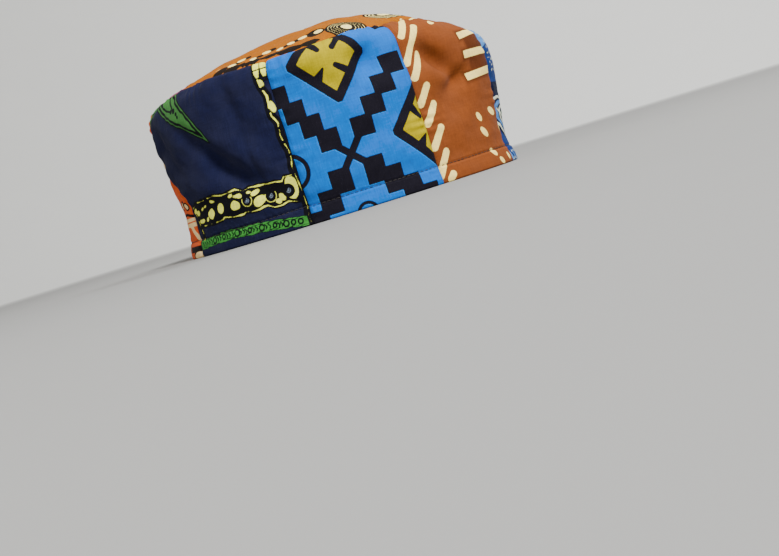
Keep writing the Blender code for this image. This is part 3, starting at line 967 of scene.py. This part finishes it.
def cotton(name, ground, inks, soft=(), slub=0.34, mapped=True):
    """Plain-woven cotton in a ground colour, with inks in order from the lowest to the topmost"""
    material, tree, shader, places = new_material(name)
    cloth = scaled(tree, places["UV" if mapped else "Object"], [CLOTH_SPAN if mapped else 1 / MM] * 3)
    slubs = slubs_in(tree, cloth)
    clouds = noise(tree, scaled(tree, cloth, [1 / CLOUD_SIZE] * 3), 3.0)
    shading = maths(tree, "ADD", maths(tree, "MULTIPLY", slubs, 2 * slub),
                    maths(tree, "MULTIPLY", clouds, CLOUD_SHADING))
    dyed = tree.nodes.new("ShaderNodeVectorMath")
    dyed.operation = "SCALE"
    feed(tree, dyed.inputs[0], printed_colour(tree, cloth, clouds, ground, inks, soft))
    feed(tree, dyed.inputs["Scale"], maths(tree, "ADD", shading, 0.82 - slub))
    feed(tree, shader.inputs["Base Color"], dyed.outputs[0])
    feed(tree, shader.inputs["Normal"], woven_bump(tree, cloth, slubs))
    mattness = maths(tree, "ADD", maths(tree, "MULTIPLY", slubs, SLUB_MATT), MATT)
    feed(tree, shader.inputs["Roughness"], mattness)
    shader.inputs["Specular IOR Level"].default_value = 0.05
    shader.inputs["Sheen Weight"].default_value = 0.02
    shader.inputs["Sheen Roughness"].default_value = 0.45
    return material


print("a thread every", THREAD, "mm and slubs", SLUB_LENGTH, "mm long")

# %% The cottons and their prints
COTTONS = {
    "navy_print": cotton("navy_cotton", dye(0.0080, 0.0095, 0.034), {
        "dark": dye(0.004, 0.004, 0.006),
        "leaf": dye(0.042, 0.150, 0.034),
        "green": dye(0.034, 0.205, 0.030),
        "cream": dye(0.78, 0.79, 0.09),
        "smoke": dye(0.16, 0.20, 0.26),
    }, slub=0.5),
    "blue_print": cotton("blue_cotton", dye(0.0006, 0.122, 0.51), {
        "pale": dye(0.012, 0.22, 0.66),
        "dark": dye(0.0075, 0.0064, 0.011),
        "yellow": dye(0.355, 0.280, 0.0001),
    }),
    "rust_print": cotton("rust_cotton", dye(0.200, 0.052, 0.012), {
        "brown": dye(0.085, 0.022, 0.006),
        "cream": dye(0.94, 0.73, 0.22),
    }, soft=("brown",)),
    "indigo_print": cotton("indigo_cotton", dye(0.008, 0.030, 0.14), {
        "dark": dye(0.006, 0.009, 0.030),
        "sky": dye(0.07, 0.20, 0.46),
        "green": dye(0.04, 0.14, 0.06),
        "cream": dye(0.62, 0.66, 0.52),
    }),
    "ochre_print": cotton("ochre_cotton", dye(0.31, 0.090, 0.001), {
        "dark": dye(0.010, 0.006, 0.004),
        "cream": dye(0.88, 0.72, 0.26),
    }),
    "orange_print": cotton("orange_cotton", dye(0.60, 0.085, 0.018), {
        "dark": dye(0.008, 0.005, 0.005),
        "cream": dye(0.78, 0.56, 0.26),
    }),
    "magenta_print": cotton("magenta_cotton", dye(0.27, 0.022, 0.12), {
        "dark": dye(0.05, 0.006, 0.04),
        "cream": dye(0.78, 0.50, 0.58),
    }),
    "black_cotton": cotton("lining_cotton", dye(0.007, 0.007, 0.008), {}, mapped=False),
}
PRINTS = {
    "navy_print": navy_print,
    "blue_print": blue_print_with_slip,
    "rust_print": rust_print,
    "indigo_print": indigo_print,
    "ochre_print": ochre_print,
    "orange_print": orange_print,
    "magenta_print": magenta_print,
}
print(len(COTTONS), "cottons and", len(PRINTS), "prints")

# %% [markdown]
# ## From a grid of points to a piece
#
# Each patch is one sheet of points in rows and columns. Its edges are turned in like real seam allowances,
# so no raw edge shows at a seam or under the rim. The print's distances go onto the mesh point by point,
# and its UV map is the flat cloth, 110 mm to one unit.
#
# Blender's own grid could be bent into shape too. A mesh made from arrays takes one call, and it can be as
# fine as the edges of the ink need.

# %% A sheet of cloth
GRID = 0.00055
TURNED_IN = (0.0008, 0.0012)
ENDS = len(TURNED_IN)


def face_out(points):
    """The direction straight out of a sheet at each of its points"""
    out = np.cross(np.gradient(points, axis=1), np.gradient(points, axis=0))
    return out / np.linalg.norm(out, axis=-1, keepdims=True)


def padded(values):
    """Numbers of a sheet, carried over its turned-in edges"""
    return np.pad(values, ((ENDS + 1, ENDS), (ENDS, ENDS)) + ((0, 0),) * (values.ndim - 2), mode="edge")


def turned_in(points, out, below):
    """The sheet with its edges turned in; below is how far its lower edge then climbs again inside"""
    rows, columns = points.shape[:2]
    points, out = padded(points), padded(out)
    row, column = np.indices(points.shape[:2])
    past = np.maximum.reduce([
        ENDS + 1 - row, row - rows - ENDS, ENDS - column, column - (columns - 1) - ENDS, 0 * row,
    ])
    depths = np.array((0, *TURNED_IN, TURNED_IN[-1]))
    points = points - out * depths[np.clip(past, 0, ENDS + 1)][..., None]
    points[0, :, 2] += below
    return points


def add_object(name, data):
    """A new object in the scene"""
    made = bpy.data.objects.new(name, data)
    bpy.context.scene.collection.objects.link(made)
    return made


def sheet_piece(name, points, flat, layers, material):
    """One piece of cloth from its grid of points, its flat cloth coordinates and its layers of numbers"""
    rows, columns = points.shape[:2]
    index = np.arange(rows * columns).reshape(rows, columns)
    quads = np.stack((index[:-1, :-1], index[:-1, 1:], index[1:, 1:], index[1:, :-1]), -1).reshape(-1, 4)
    mesh = bpy.data.meshes.new(name)
    mesh.from_pydata(points.reshape(-1, 3), [], quads)
    mesh.shade_smooth()
    corners = (flat.reshape(-1, 2) / CLOTH_SPAN)[quads.ravel()]
    mesh.uv_layers.new(name="cloth").data.foreach_set("uv", corners.ravel())
    for layer, values in layers.items():
        numbers = mesh.attributes.new(layer, "FLOAT", "POINT").data
        numbers.foreach_set("value", values.ravel().astype(np.float32))
    mesh.materials.append(material)
    return add_object(name, mesh)


print("a sheet has a point every", GRID / MM, "mm")

# %% [markdown]
# ## The side wall
#
# Eight patches are sewn side by side into a band, and the band is sewn to the crown. One ring of cloth
# would be simpler, but seams and changes of print are the first thing that one sees on such a cap. So each
# patch is a sheet of its own, with a hair's gap at its seams. The hidden patches reuse the prints that
# show, turned upside down or shifted, as an economical maker would cut them from what is left.

# %% The wall's patches
SEAM_GAP = 0.08
Patch = namedtuple("Patch", "node start end slot shift turned seed")
WALL = (
    Patch("wall_front_indigo", -10, 38, "indigo_print", (0, 0), False, 11),
    Patch("wall_left_ochre", 38, 82, "ochre_print", (22, 46), False, 12),
    Patch("wall_left_blue", 82, 128, "blue_print", (78, 98), True, 13),
    Patch("wall_left_rust", 128, 170, "rust_print", (64, 97), True, 14),
    Patch("wall_back_orange", 170, 214, "orange_print", (0, 0), False, 15),
    Patch("wall_right_navy", 214, 265, "navy_print", (0, 0), False, 16),
    Patch("wall_right_blue", 265, 308, "blue_print", (0, 0), False, 17),
    Patch("wall_right_rust", 308, 350, "rust_print", (0, 0), False, 18),
)


def printed(patch, x, y):
    """The print's layers at points of the flat cloth, cut from where the patch says"""
    if patch.turned:
        return PRINTS[patch.slot](patch.shift[0] - x, patch.shift[1] - y)
    return PRINTS[patch.slot](x + patch.shift[0], y + patch.shift[1])


def patch_piece(patch, points, x, y, inks):
    """A patch's piece of cloth, with its print carried over its turned-in edges"""
    layers = {ink: padded(values) for ink, values in inks.items()}
    flat = np.stack((padded(x), padded(y)), -1)
    return sheet_piece(patch.node + "_cloth", points, flat, layers, COTTONS[patch.slot])


def seam_line(angle, share):
    """How far along the rim one seam is, row by row, and how much its slant narrows a distance to it"""
    height = share * section_at(np.array(float(angle))).height
    along = along_rim(seam_angle(angle, height))
    slant = np.gradient(along) / np.gradient(height / MM)
    return along, 1 / np.hypot(1, slant)


def wall_grid(patch):
    """A patch's points on the flat cloth, its angles, its top edge and the distances to its two seams"""
    rows = round(section_at(np.array(patch.start + 0.5)).height / GRID) + 1
    share = np.linspace(0, 1, rows)
    (start, start_slant), (end, end_slant) = seam_line(patch.start, share), seam_line(patch.end, share)
    columns = round((end - start).max() * MM / GRID) + 1
    start, end = start + SEAM_GAP / start_slant, end - SEAM_GAP / end_slant
    along = start[:, None] + (end - start)[:, None] * np.linspace(0, 1, columns)
    angle = np.interp(along, RIM_LENGTHS, RIM_ANGLES)
    top = section_at(angle).height / MM
    sides = ((along - start[:, None]) * start_slant[:, None], (end[:, None] - along) * end_slant[:, None])
    return along - along_rim(patch.start), share[:, None] * (top - SEAM_GAP), angle, top, sides


print(len(WALL), "patches in the wall")

# %% The wall's pieces
UNEVEN, UNEVEN_SIZE, UNEVEN_FROM = 0.34, 22, 20
HEM_INSIDE, HEM_TURNED_UP = 0.004, 0.006


def wall_piece(patch):
    """One patch of the wall, with its relief and its print"""
    x, y, angle, top, (left, right) = wall_grid(patch)
    relief = seam_relief(left, y, patch.seed) + seam_relief(right, y, patch.seed + 1)
    relief += seam_relief(top - y, x, patch.seed + 2, TOP_GATHERS) + hem_relief(x, y, patch.seed + 3)
    uneven = waves(x, y, UNEVEN_SIZE, patch.seed + 4) + 0.3 * waves(x, y, 8, patch.seed + 5)
    relief += UNEVEN * uneven * blend(y / UNEVEN_FROM)
    points = wall_point(angle, y * MM)
    out = face_out(points)
    points = points + out * (relief * MM - fold_depth(angle, y * MM, CREASES))[..., None]
    points[0, :, 2] = 0
    piece = patch_piece(patch, turned_in(points, out, HEM_INSIDE), x, y, printed(patch, x, y))
    return piece


wall_pieces = [wall_piece(patch) for patch in WALL]
print(sum(2 * len(piece.data.polygons) for piece in wall_pieces), "triangles in the wall")

# %% [markdown]
# ## The crown
#
# Four wedges of cloth meet near the middle. Each is built of rays that run in from the round seam. The rays
# crowd at the middle, but the seam, which shows most, gets an even mesh. The prints are laid out on the
# plan, as seen from above, because the crown is nearly flat: laid along the rays, they would shrink to a
# point.

# %% The crown's wedges
CROWN_GRID = 0.0007
CROWN_VALLEY, CROWN_VALLEY_REACH = 1.3, 5.0
CROWN_UNEVEN_SIZE, CROWN_CALM_EDGE, CROWN_MIDDLE = 24, 6, 0.4
CROWN = (
    Patch("crown_front", -15, 50, "navy_print", (46, -14), False, 31),
    Patch("crown_left", 50, 130, "rust_print", (10, 8), False, 32),
    Patch("crown_back", 130, 220, "magenta_print", (0, 0), False, 33),
    Patch("crown_right", 220, 345, "ochre_print", (-35, 56), False, 34),
)


def crown_grid(patch):
    """A wedge's angles, shares of the way out, gaps to the round seam, and its rays with their lengths"""
    columns = round((along_rim(patch.end) - along_rim(patch.start)) * 0.9 * MM / CROWN_GRID) + 1
    gap = SEAM_GAP / (along_rim(patch.start + 1) - along_rim(patch.start))
    angles = np.linspace(patch.start + gap, patch.end - gap, columns)
    reach = np.linalg.norm(crown_point(angles, np.ones(columns)) - CROWN_TOP, axis=-1) / MM
    rows = round(reach.max() * MM / CROWN_GRID) + 1
    angle, inwards = np.meshgrid(angles, np.linspace(0, 1, rows))
    length = np.broadcast_to(reach, angle.shape)
    from_seam = SEAM_GAP + inwards * (length - SEAM_GAP - CROWN_MIDDLE)
    return angle, 1 - from_seam / length, from_seam, length, angles, reach


def crown_inks(patch, x, y):
    """A wedge's print: the front one is turned on its side, and the right one has its own cut"""
    if patch.node == "crown_front":
        return printed(patch, y, x)
    return crown_ochre_print(x, y) if patch.node == "crown_right" else printed(patch, x, y)


def crown_piece(patch):
    """One wedge of the crown, from the round seam in to the middle"""
    angle, share, from_seam, length, angles, reach = crown_grid(patch)
    points = crown_point(angle, share)
    out = face_out(points)
    x, y = points[..., 0] / MM, points[..., 1] / MM
    sides = np.radians(np.minimum(angle - patch.start, patch.end - angle)) * share * length
    relief = seam_relief(sides, from_seam, patch.seed)
    relief += seam_relief(from_seam, along_rim(angle), patch.seed + 1, TOP_GATHERS)
    relief -= CROWN_VALLEY * np.exp(-((from_seam / CROWN_VALLEY_REACH) ** 2))
    away = blend(sides / CROWN_CALM_EDGE) * blend(from_seam / CROWN_CALM_EDGE)
    relief += UNEVEN * waves(x, y, CROWN_UNEVEN_SIZE, patch.seed + 2) * away
    relief -= dent_depth(points, WRINKLES) / MM * away
    points = turned_in(points + out * relief[..., None] * MM, out, 0)
    piece = patch_piece(patch, points, x, y, crown_inks(patch, x, y))
    return piece


crown_pieces = [crown_piece(patch) for patch in CROWN]
print(sum(2 * len(piece.data.polygons) for piece in crown_pieces), "triangles in the crown")

# %% [markdown]
# ## The lining
#
# A bag of black cotton hangs just inside, from the rim to the crown. It is one piece here, with the narrow
# raised lines of its own four seams and small gathers by the round seam at its top. Over the seams of the
# patches it lies a little deeper, because their turned-in edges are in between.
#
# A smaller copy of the cap would be quick, but it would lie at unlike depths under the wall and the crown.
# So each point is placed at its own depth, square to the outer face.

# %% Points of the lining
LINING_DEPTH, LINING_LIFT, LINING_CORNER = 0.0030, 0.0014, 0.0045
WALL_REACH, CROWN_REACH = 0.09, 0.08
DEGREE_MM, STAGE_MM = 1.6, 85
RIDGE, RIDGE_REACH, ROUND_RIDGE_REACH = 1.25, 2.6, 6


def skin_point(angle, stage):
    """A point of the whole outer face: stage 0 is the rim, 1 the seam and 2 the crown's top"""
    wall = wall_point(angle, np.clip(stage, 0, 1) * section_at(angle).height)
    return np.where((stage <= 1)[..., None], wall, crown_point(angle, np.clip(2 - stage, 0, 1)))


def inside_point(angle, stage, depth, nudge=0.01):
    """A point at a depth under the outer face, along the line square to it"""
    round_cap = skin_point(angle + nudge, stage) - skin_point(angle - nudge, stage)
    up_cap = skin_point(angle, stage + nudge) - skin_point(angle, stage - nudge)
    out = np.cross(round_cap, up_cap)
    return skin_point(angle, stage) - out / np.linalg.norm(out, axis=-1, keepdims=True) * depth[..., None]


def seam_ridges(angle, stage, height):
    """How many millimetres further in the lining lies where it covers the seams of the patches"""
    wall = [(angle - seam_angle(patch.start, height) + 180) % 360 - 180 for patch in WALL]
    crown = [((angle - patch.start + 180) % 360 - 180) * (2 - stage) for patch in CROWN]
    near = [np.minimum.reduce(np.abs(seams)) for seams in (wall, crown)]
    near = np.where(stage <= 1, *near) * DEGREE_MM
    from_round_seam = (stage - 1) * STAGE_MM
    return RIDGE * np.exp(-np.minimum((near / RIDGE_REACH) ** 2, (from_round_seam / ROUND_RIDGE_REACH) ** 2))


print("the lining hangs", LINING_DEPTH / MM, "mm inside, and", RIDGE, "mm deeper over seams")

# %% The lining's piece
LINING_COLUMNS, LINING_WALL_ROWS, LINING_CROWN_ROWS = 541, 64, 56
LINING_SEAM, LINING_SEAM_REACH, LINING_GATHERS = 0.5, 1.2, 0.25
EDGE_STAGE, EDGE_BLEND = 0.03, 0.05


def lining_piece():
    """The black bag, seen from inside, with its seams"""
    wall_stages = np.linspace(LINING_LIFT / WALL_REACH, 1 - LINING_CORNER / WALL_REACH, LINING_WALL_ROWS)
    crown_stages = np.linspace(1 + LINING_CORNER / CROWN_REACH, 1.99, LINING_CROWN_ROWS)
    stages = np.concatenate((wall_stages, crown_stages))
    angle, stage = np.meshgrid(np.linspace(0, 360, LINING_COLUMNS), stages)
    height = np.clip(stage, 0, 1) * section_at(angle).height
    seam = LINING_SEAM * np.exp(-((((angle + 45) % 90 - 45) * DEGREE_MM / LINING_SEAM_REACH) ** 2))
    gathers = LINING_GATHERS * np.sin(np.radians(angle) * 60) * np.exp(-np.abs(stage - 1) / 0.10)
    free = blend((stage - EDGE_STAGE) / EDGE_BLEND)
    depth = LINING_DEPTH + (seam + gathers - LINING_GATHERS) * MM * free
    depth += seam_ridges(angle, stage, height) * MM * free
    depth += np.maximum(fold_depth(angle, height, CREASES), 0)
    points = inside_point(angle, stage, depth)[:, ::-1]
    flat = np.stack((angle * DEGREE_MM % CLOTH_SPAN, stage * 50), -1)
    piece = sheet_piece("lining_cloth", points, flat, {}, COTTONS["black_cotton"])
    return piece


lining = lining_piece()
print(2 * len(lining.data.polygons), "triangles in the lining")

# %% [markdown]
# ## The hem's stitches
#
# The hem is held by one round of machine stitches in dark thread, each 2.2 mm long with a short gap. An
# Array that follows a curve could lay them, but it bends and stretches every copy. Geometry Nodes sets one
# stitch down again and again, turned along the hem line, and keeps its pitch as a named input. The result
# becomes a plain mesh.

# %% The thread
STITCH_PITCH, STITCH_LENGTH, STITCH_THICK = 2.6, 2.2, 0.36
STITCH_DIP, STITCH_LIFT = 0.22, 0.10
HEM_PATH_POINTS = 1200


def thread_material():
    """Dark sewing thread with a twist"""
    material, tree, shader, places = new_material("dark_thread")
    twist = noise(tree, scaled(tree, places["Object"], [1 / (0.5 * MM)] * 3))
    colour = inked(tree, twist, dye(0.006, 0.005, 0.004), dye(0.03, 0.02, 0.013))
    feed(tree, shader.inputs["Base Color"], colour)
    feed(tree, shader.inputs["Roughness"], maths(tree, "ADD", maths(tree, "MULTIPLY", twist, 0.3), 0.45))
    return material


def one_stitch():
    """A single stitch along X: a short rounded run of thread that dips at both ends"""
    bpy.ops.mesh.primitive_uv_sphere_add(segments=8, ring_count=9, radius=1)
    stitch = bpy.context.object
    stitch.name = "one_stitch"
    for vert in stitch.data.vertices:
        x, y, z = vert.co
        up = x * STITCH_THICK / 2 - z * z * STITCH_DIP
        vert.co = (z * STITCH_LENGTH / 2 * MM, y * STITCH_THICK / 2 * MM, up * MM)
    return stitch


def hem_path():
    """The line of the hem's stitches, as a closed path just above its groove"""
    angle = np.linspace(0, 360, HEM_PATH_POINTS + 1)[:-1]
    line = np.zeros(len(angle))
    for patch in WALL:
        turned = (angle - patch.start) % 360
        here = turned < patch.end - patch.start
        line[here] = hem_line(along_rim(turned[here] + patch.start) - along_rim(patch.start))
    proud = STITCH_LIFT - HEM_GROOVE - HEM_DRAW + HEM_PROUD / 2
    points = wall_point(angle, line * MM) + outward(angle) * proud * MM
    mesh = bpy.data.meshes.new("hem_path")
    mesh.from_pydata(points, [(step, (step + 1) % len(points)) for step in range(len(points))], [])
    return add_object("hem_stitches", mesh)


stitch, path = one_stitch(), hem_path()
print("one stitch has", len(stitch.data.polygons), "faces")


# %% Stitches laid by Geometry Nodes
def stitch_tree():
    """Instances of one stitch at even steps along a path, turned to follow it, made real"""
    tree = bpy.data.node_groups.new("stitches_on_a_path", "GeometryNodeTree")
    for name, kind in (("Path", "NodeSocketGeometry"), ("Stitch", "NodeSocketObject"),
                       ("Pitch", "NodeSocketFloat"), ("Thread", "NodeSocketMaterial")):
        tree.interface.new_socket(name, in_out="INPUT", socket_type=kind)
    tree.interface.new_socket("Stitches", in_out="OUTPUT", socket_type="NodeSocketGeometry")
    new = tree.nodes.new
    start, end = new("NodeGroupInput"), new("NodeGroupOutput")
    curve, even = new("GeometryNodeMeshToCurve"), new("GeometryNodeResampleCurve")
    points, info = new("GeometryNodeInstanceOnPoints"), new("GeometryNodeObjectInfo")
    tangent, turn = new("GeometryNodeInputTangent"), new("FunctionNodeAlignRotationToVector")
    real, finish = new("GeometryNodeRealizeInstances"), new("GeometryNodeSetMaterial")
    even.mode = "LENGTH"
    turn.axis = "X"
    turn.pivot_axis = "Z"
    for output, socket in (
        (start.outputs["Path"], curve.inputs[0]),
        (curve.outputs[0], even.inputs["Curve"]),
        (start.outputs["Pitch"], even.inputs["Length"]),
        (even.outputs[0], points.inputs["Points"]),
        (start.outputs["Stitch"], info.inputs["Object"]),
        (info.outputs["Geometry"], points.inputs["Instance"]),
        (tangent.outputs[0], turn.inputs["Vector"]),
        (turn.outputs[0], points.inputs["Rotation"]),
        (points.outputs[0], real.inputs[0]),
        (real.outputs[0], finish.inputs["Geometry"]),
        (start.outputs["Thread"], finish.inputs["Material"]),
        (finish.outputs[0], end.inputs[0]),
    ):
        tree.links.new(output, socket)
    return tree


def settle(piece, tree, values):
    """Runs a node tree on a piece with inputs set by identifier, and keeps the result as a plain mesh"""
    modifier = piece.modifiers.new("stitches", "NODES")
    modifier.node_group = tree
    sockets = {item.name: item.identifier for item in tree.interface.items_tree if item.in_out == "INPUT"}
    for name, value in values.items():
        modifier[sockets[name]] = value
    bpy.context.view_layer.update()
    seen = piece.evaluated_get(bpy.context.evaluated_depsgraph_get())
    made = bpy.data.meshes.new_from_object(seen)
    piece.modifiers.remove(modifier)
    piece.data = made


settle(path, stitch_tree(), {"Stitch": stitch, "Pitch": STITCH_PITCH * MM, "Thread": thread_material()})
path.data.shade_smooth()
bpy.data.objects.remove(stitch)
print(len(path.data.polygons), "faces in the stitches")

# %% [markdown]
# ## Riding on the model
#
# Every piece rides on the one body and takes the place of its CAD solid.
# The stitches have no solid of their own, so they only ride.

# %% Pieces and nodes
for patch, piece in zip(WALL + CROWN, wall_pieces + crown_pieces):
    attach(piece, "root")
    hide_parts(patch.node)
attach(lining, "root")
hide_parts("lining")
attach(path, "root")
print(len(wall_pieces) + len(crown_pieces) + 2, "pieces ride on root")

# %% [markdown]
# ## Floor, light and camera
#
# The cap stands on a seamless paper sweep. Its tone is graded paler away from the cap, as painted light that
# makes up for the lamps' light falling off with distance: plain paper that is grey enough by the cap would
# be too dark at the back. A soft light from the cap's front right gives the folds their shape. A weaker one
# high in front and one from the back right open the shadows, and a fourth lights the paper behind. A studio
# picture wrapped round the scene could do all this, but lamps show which light does what.
# The camera looks from the photograph's side and is turned as much as the cap tilts there. It stays just
# above the floor, so it looks up less steeply than the photograph does.

# %% The sweep
FLOOR_RADIUS, SWEEP_BEND, SWEEP_HEIGHT = 1.7, 2.0, 2.6
SWEEP_SIDES, SWEEP_RINGS = 96, 25
NEAR_PAPER = dye(0.252, 0.250, 0.242), dye(0.264, 0.262, 0.254)
# The far paper is paler as painted light, standing in for the light that falls off away from the lamps
FAR_PAPER_PAINTED_LIGHT = dye(0.66, 0.66, 0.64), dye(0.68, 0.68, 0.66)
PAPER_PAINTED_LIGHT_REACH = (0.7, 1.8)


def sweep_material():
    """Matt paper with a fine grain, and painted light that grades it from grey at the cap to pale at the
    wall
    """
    material, tree, shader, places = new_material("sweep_paper")
    grain = noise(tree, scaled(tree, places["Object"], (9.0, 9.0, 9.0)), 4.0)
    reach = tree.nodes.new("ShaderNodeVectorMath")
    reach.operation = "LENGTH"
    feed(tree, reach.inputs[0], places["Object"])
    near, far = inked(tree, grain, *NEAR_PAPER), inked(tree, grain, *FAR_PAPER_PAINTED_LIGHT)
    # Painted light: the paper turns paler with distance from the cap
    painted_light = stepped(tree, reach.outputs["Value"], *PAPER_PAINTED_LIGHT_REACH)
    feed(tree, shader.inputs["Base Color"], inked(tree, painted_light, near, far))
    shader.inputs["Roughness"].default_value = 0.9
    shader.inputs["Specular IOR Level"].default_value = 0.1
    return material


def sweep():
    """A round floor that curves up into a wall on every side"""
    arc = np.radians(np.linspace(0, 90, SWEEP_RINGS))
    profile = [(FLOOR_RADIUS + SWEEP_BEND * math.sin(a), SWEEP_BEND * (1 - math.cos(a))) for a in arc]
    profile.append((FLOOR_RADIUS + SWEEP_BEND, SWEEP_HEIGHT))
    turns = np.arange(SWEEP_SIDES) * 2 * math.pi / SWEEP_SIDES
    points = [(reach * math.cos(turn), reach * math.sin(turn), z) for reach, z in profile for turn in turns]
    index = np.arange(len(points)).reshape(len(profile), SWEEP_SIDES)
    beside = np.roll(index, -1, axis=1)
    quads = np.stack((index[:-1], index[1:], beside[1:], beside[:-1]), -1).reshape(-1, 4)
    mesh = bpy.data.meshes.new("sweep")
    mesh.from_pydata(points, [], [index[0].tolist(), *quads.tolist()])
    mesh.shade_smooth()
    mesh.materials.append(sweep_material())
    return add_object("sweep", mesh)


sweep()
print("the floor is", 2 * FLOOR_RADIUS, "m across before it curves up")

# %% Lights
Lamp = namedtuple("Lamp", "name place aim size power")
LAMPS = (
    Lamp("key", (0.68, -1.05, 1.35), (0, 0, 0.05), 0.5, 62),
    Lamp("side", (1.10, 0.20, 1.60), (0, 0, 0.05), 0.5, 18),
    Lamp("fill", (-1.30, -1.60, 0.70), (0, 0, 0.05), 1.4, 14),
    Lamp("backdrop", (0.7, 1.2, 2.5), (0.6, 3.3, 1.0), 1.6, 82),
)
SKY, SKY_STRENGTH = (0.83, 0.83, 0.82, 1), 0.4
for lamp in LAMPS:
    light = bpy.data.lights.new(lamp.name, "AREA")
    light.size, light.energy = lamp.size, lamp.power
    holder = add_object(lamp.name, light)
    holder.location = lamp.place
    holder.rotation_mode = "QUATERNION"
    holder.rotation_quaternion = (Vector(lamp.aim) - holder.location).to_track_quat("-Z", "Y")
world = bpy.data.worlds.new("studio")
world.use_nodes = True
world.node_tree.nodes["Background"].inputs["Color"].default_value = SKY
world.node_tree.nodes["Background"].inputs["Strength"].default_value = SKY_STRENGTH
bpy.context.scene.world = world
print(len(LAMPS), "lights")

# %% The camera
AZIMUTH, ELEVATION, ROLL, DISTANCE = math.radians(9.9), math.radians(-3.35), math.radians(17.3), 0.65
PICTURE_WIDTH, PICTURE_HEIGHT, FOCAL_PIXELS = 779, 556, 1092
AIM, AIM_PIXEL = Vector((0, 0, 0.050)), (329.1, 127.9)
SENSOR = 36.0

level_reach = math.cos(ELEVATION)
away = Vector((math.sin(AZIMUTH) * level_reach, -math.cos(AZIMUTH) * level_reach, math.sin(ELEVATION)))
seen_at = Vector((AIM_PIXEL[0] - PICTURE_WIDTH / 2, PICTURE_HEIGHT / 2 - AIM_PIXEL[1], -FOCAL_PIXELS))
turn_away = Vector((0, 0, -1)).rotation_difference(seen_at)
lens = bpy.data.cameras.new("camera")
lens.sensor_width = SENSOR
lens.lens = FOCAL_PIXELS * SENSOR / PICTURE_WIDTH
lens.clip_start = 0.01
camera = add_object("camera", lens)
camera.location = AIM + away * DISTANCE
camera.rotation_mode = "QUATERNION"
level = (-away).to_track_quat("-Z", "Y")
camera.rotation_quaternion = level @ Quaternion((0, 0, 1), -ROLL) @ turn_away.inverted()
bpy.context.scene.camera = camera
print("the camera is", round(1000 * camera.location.z), "mm above the floor")
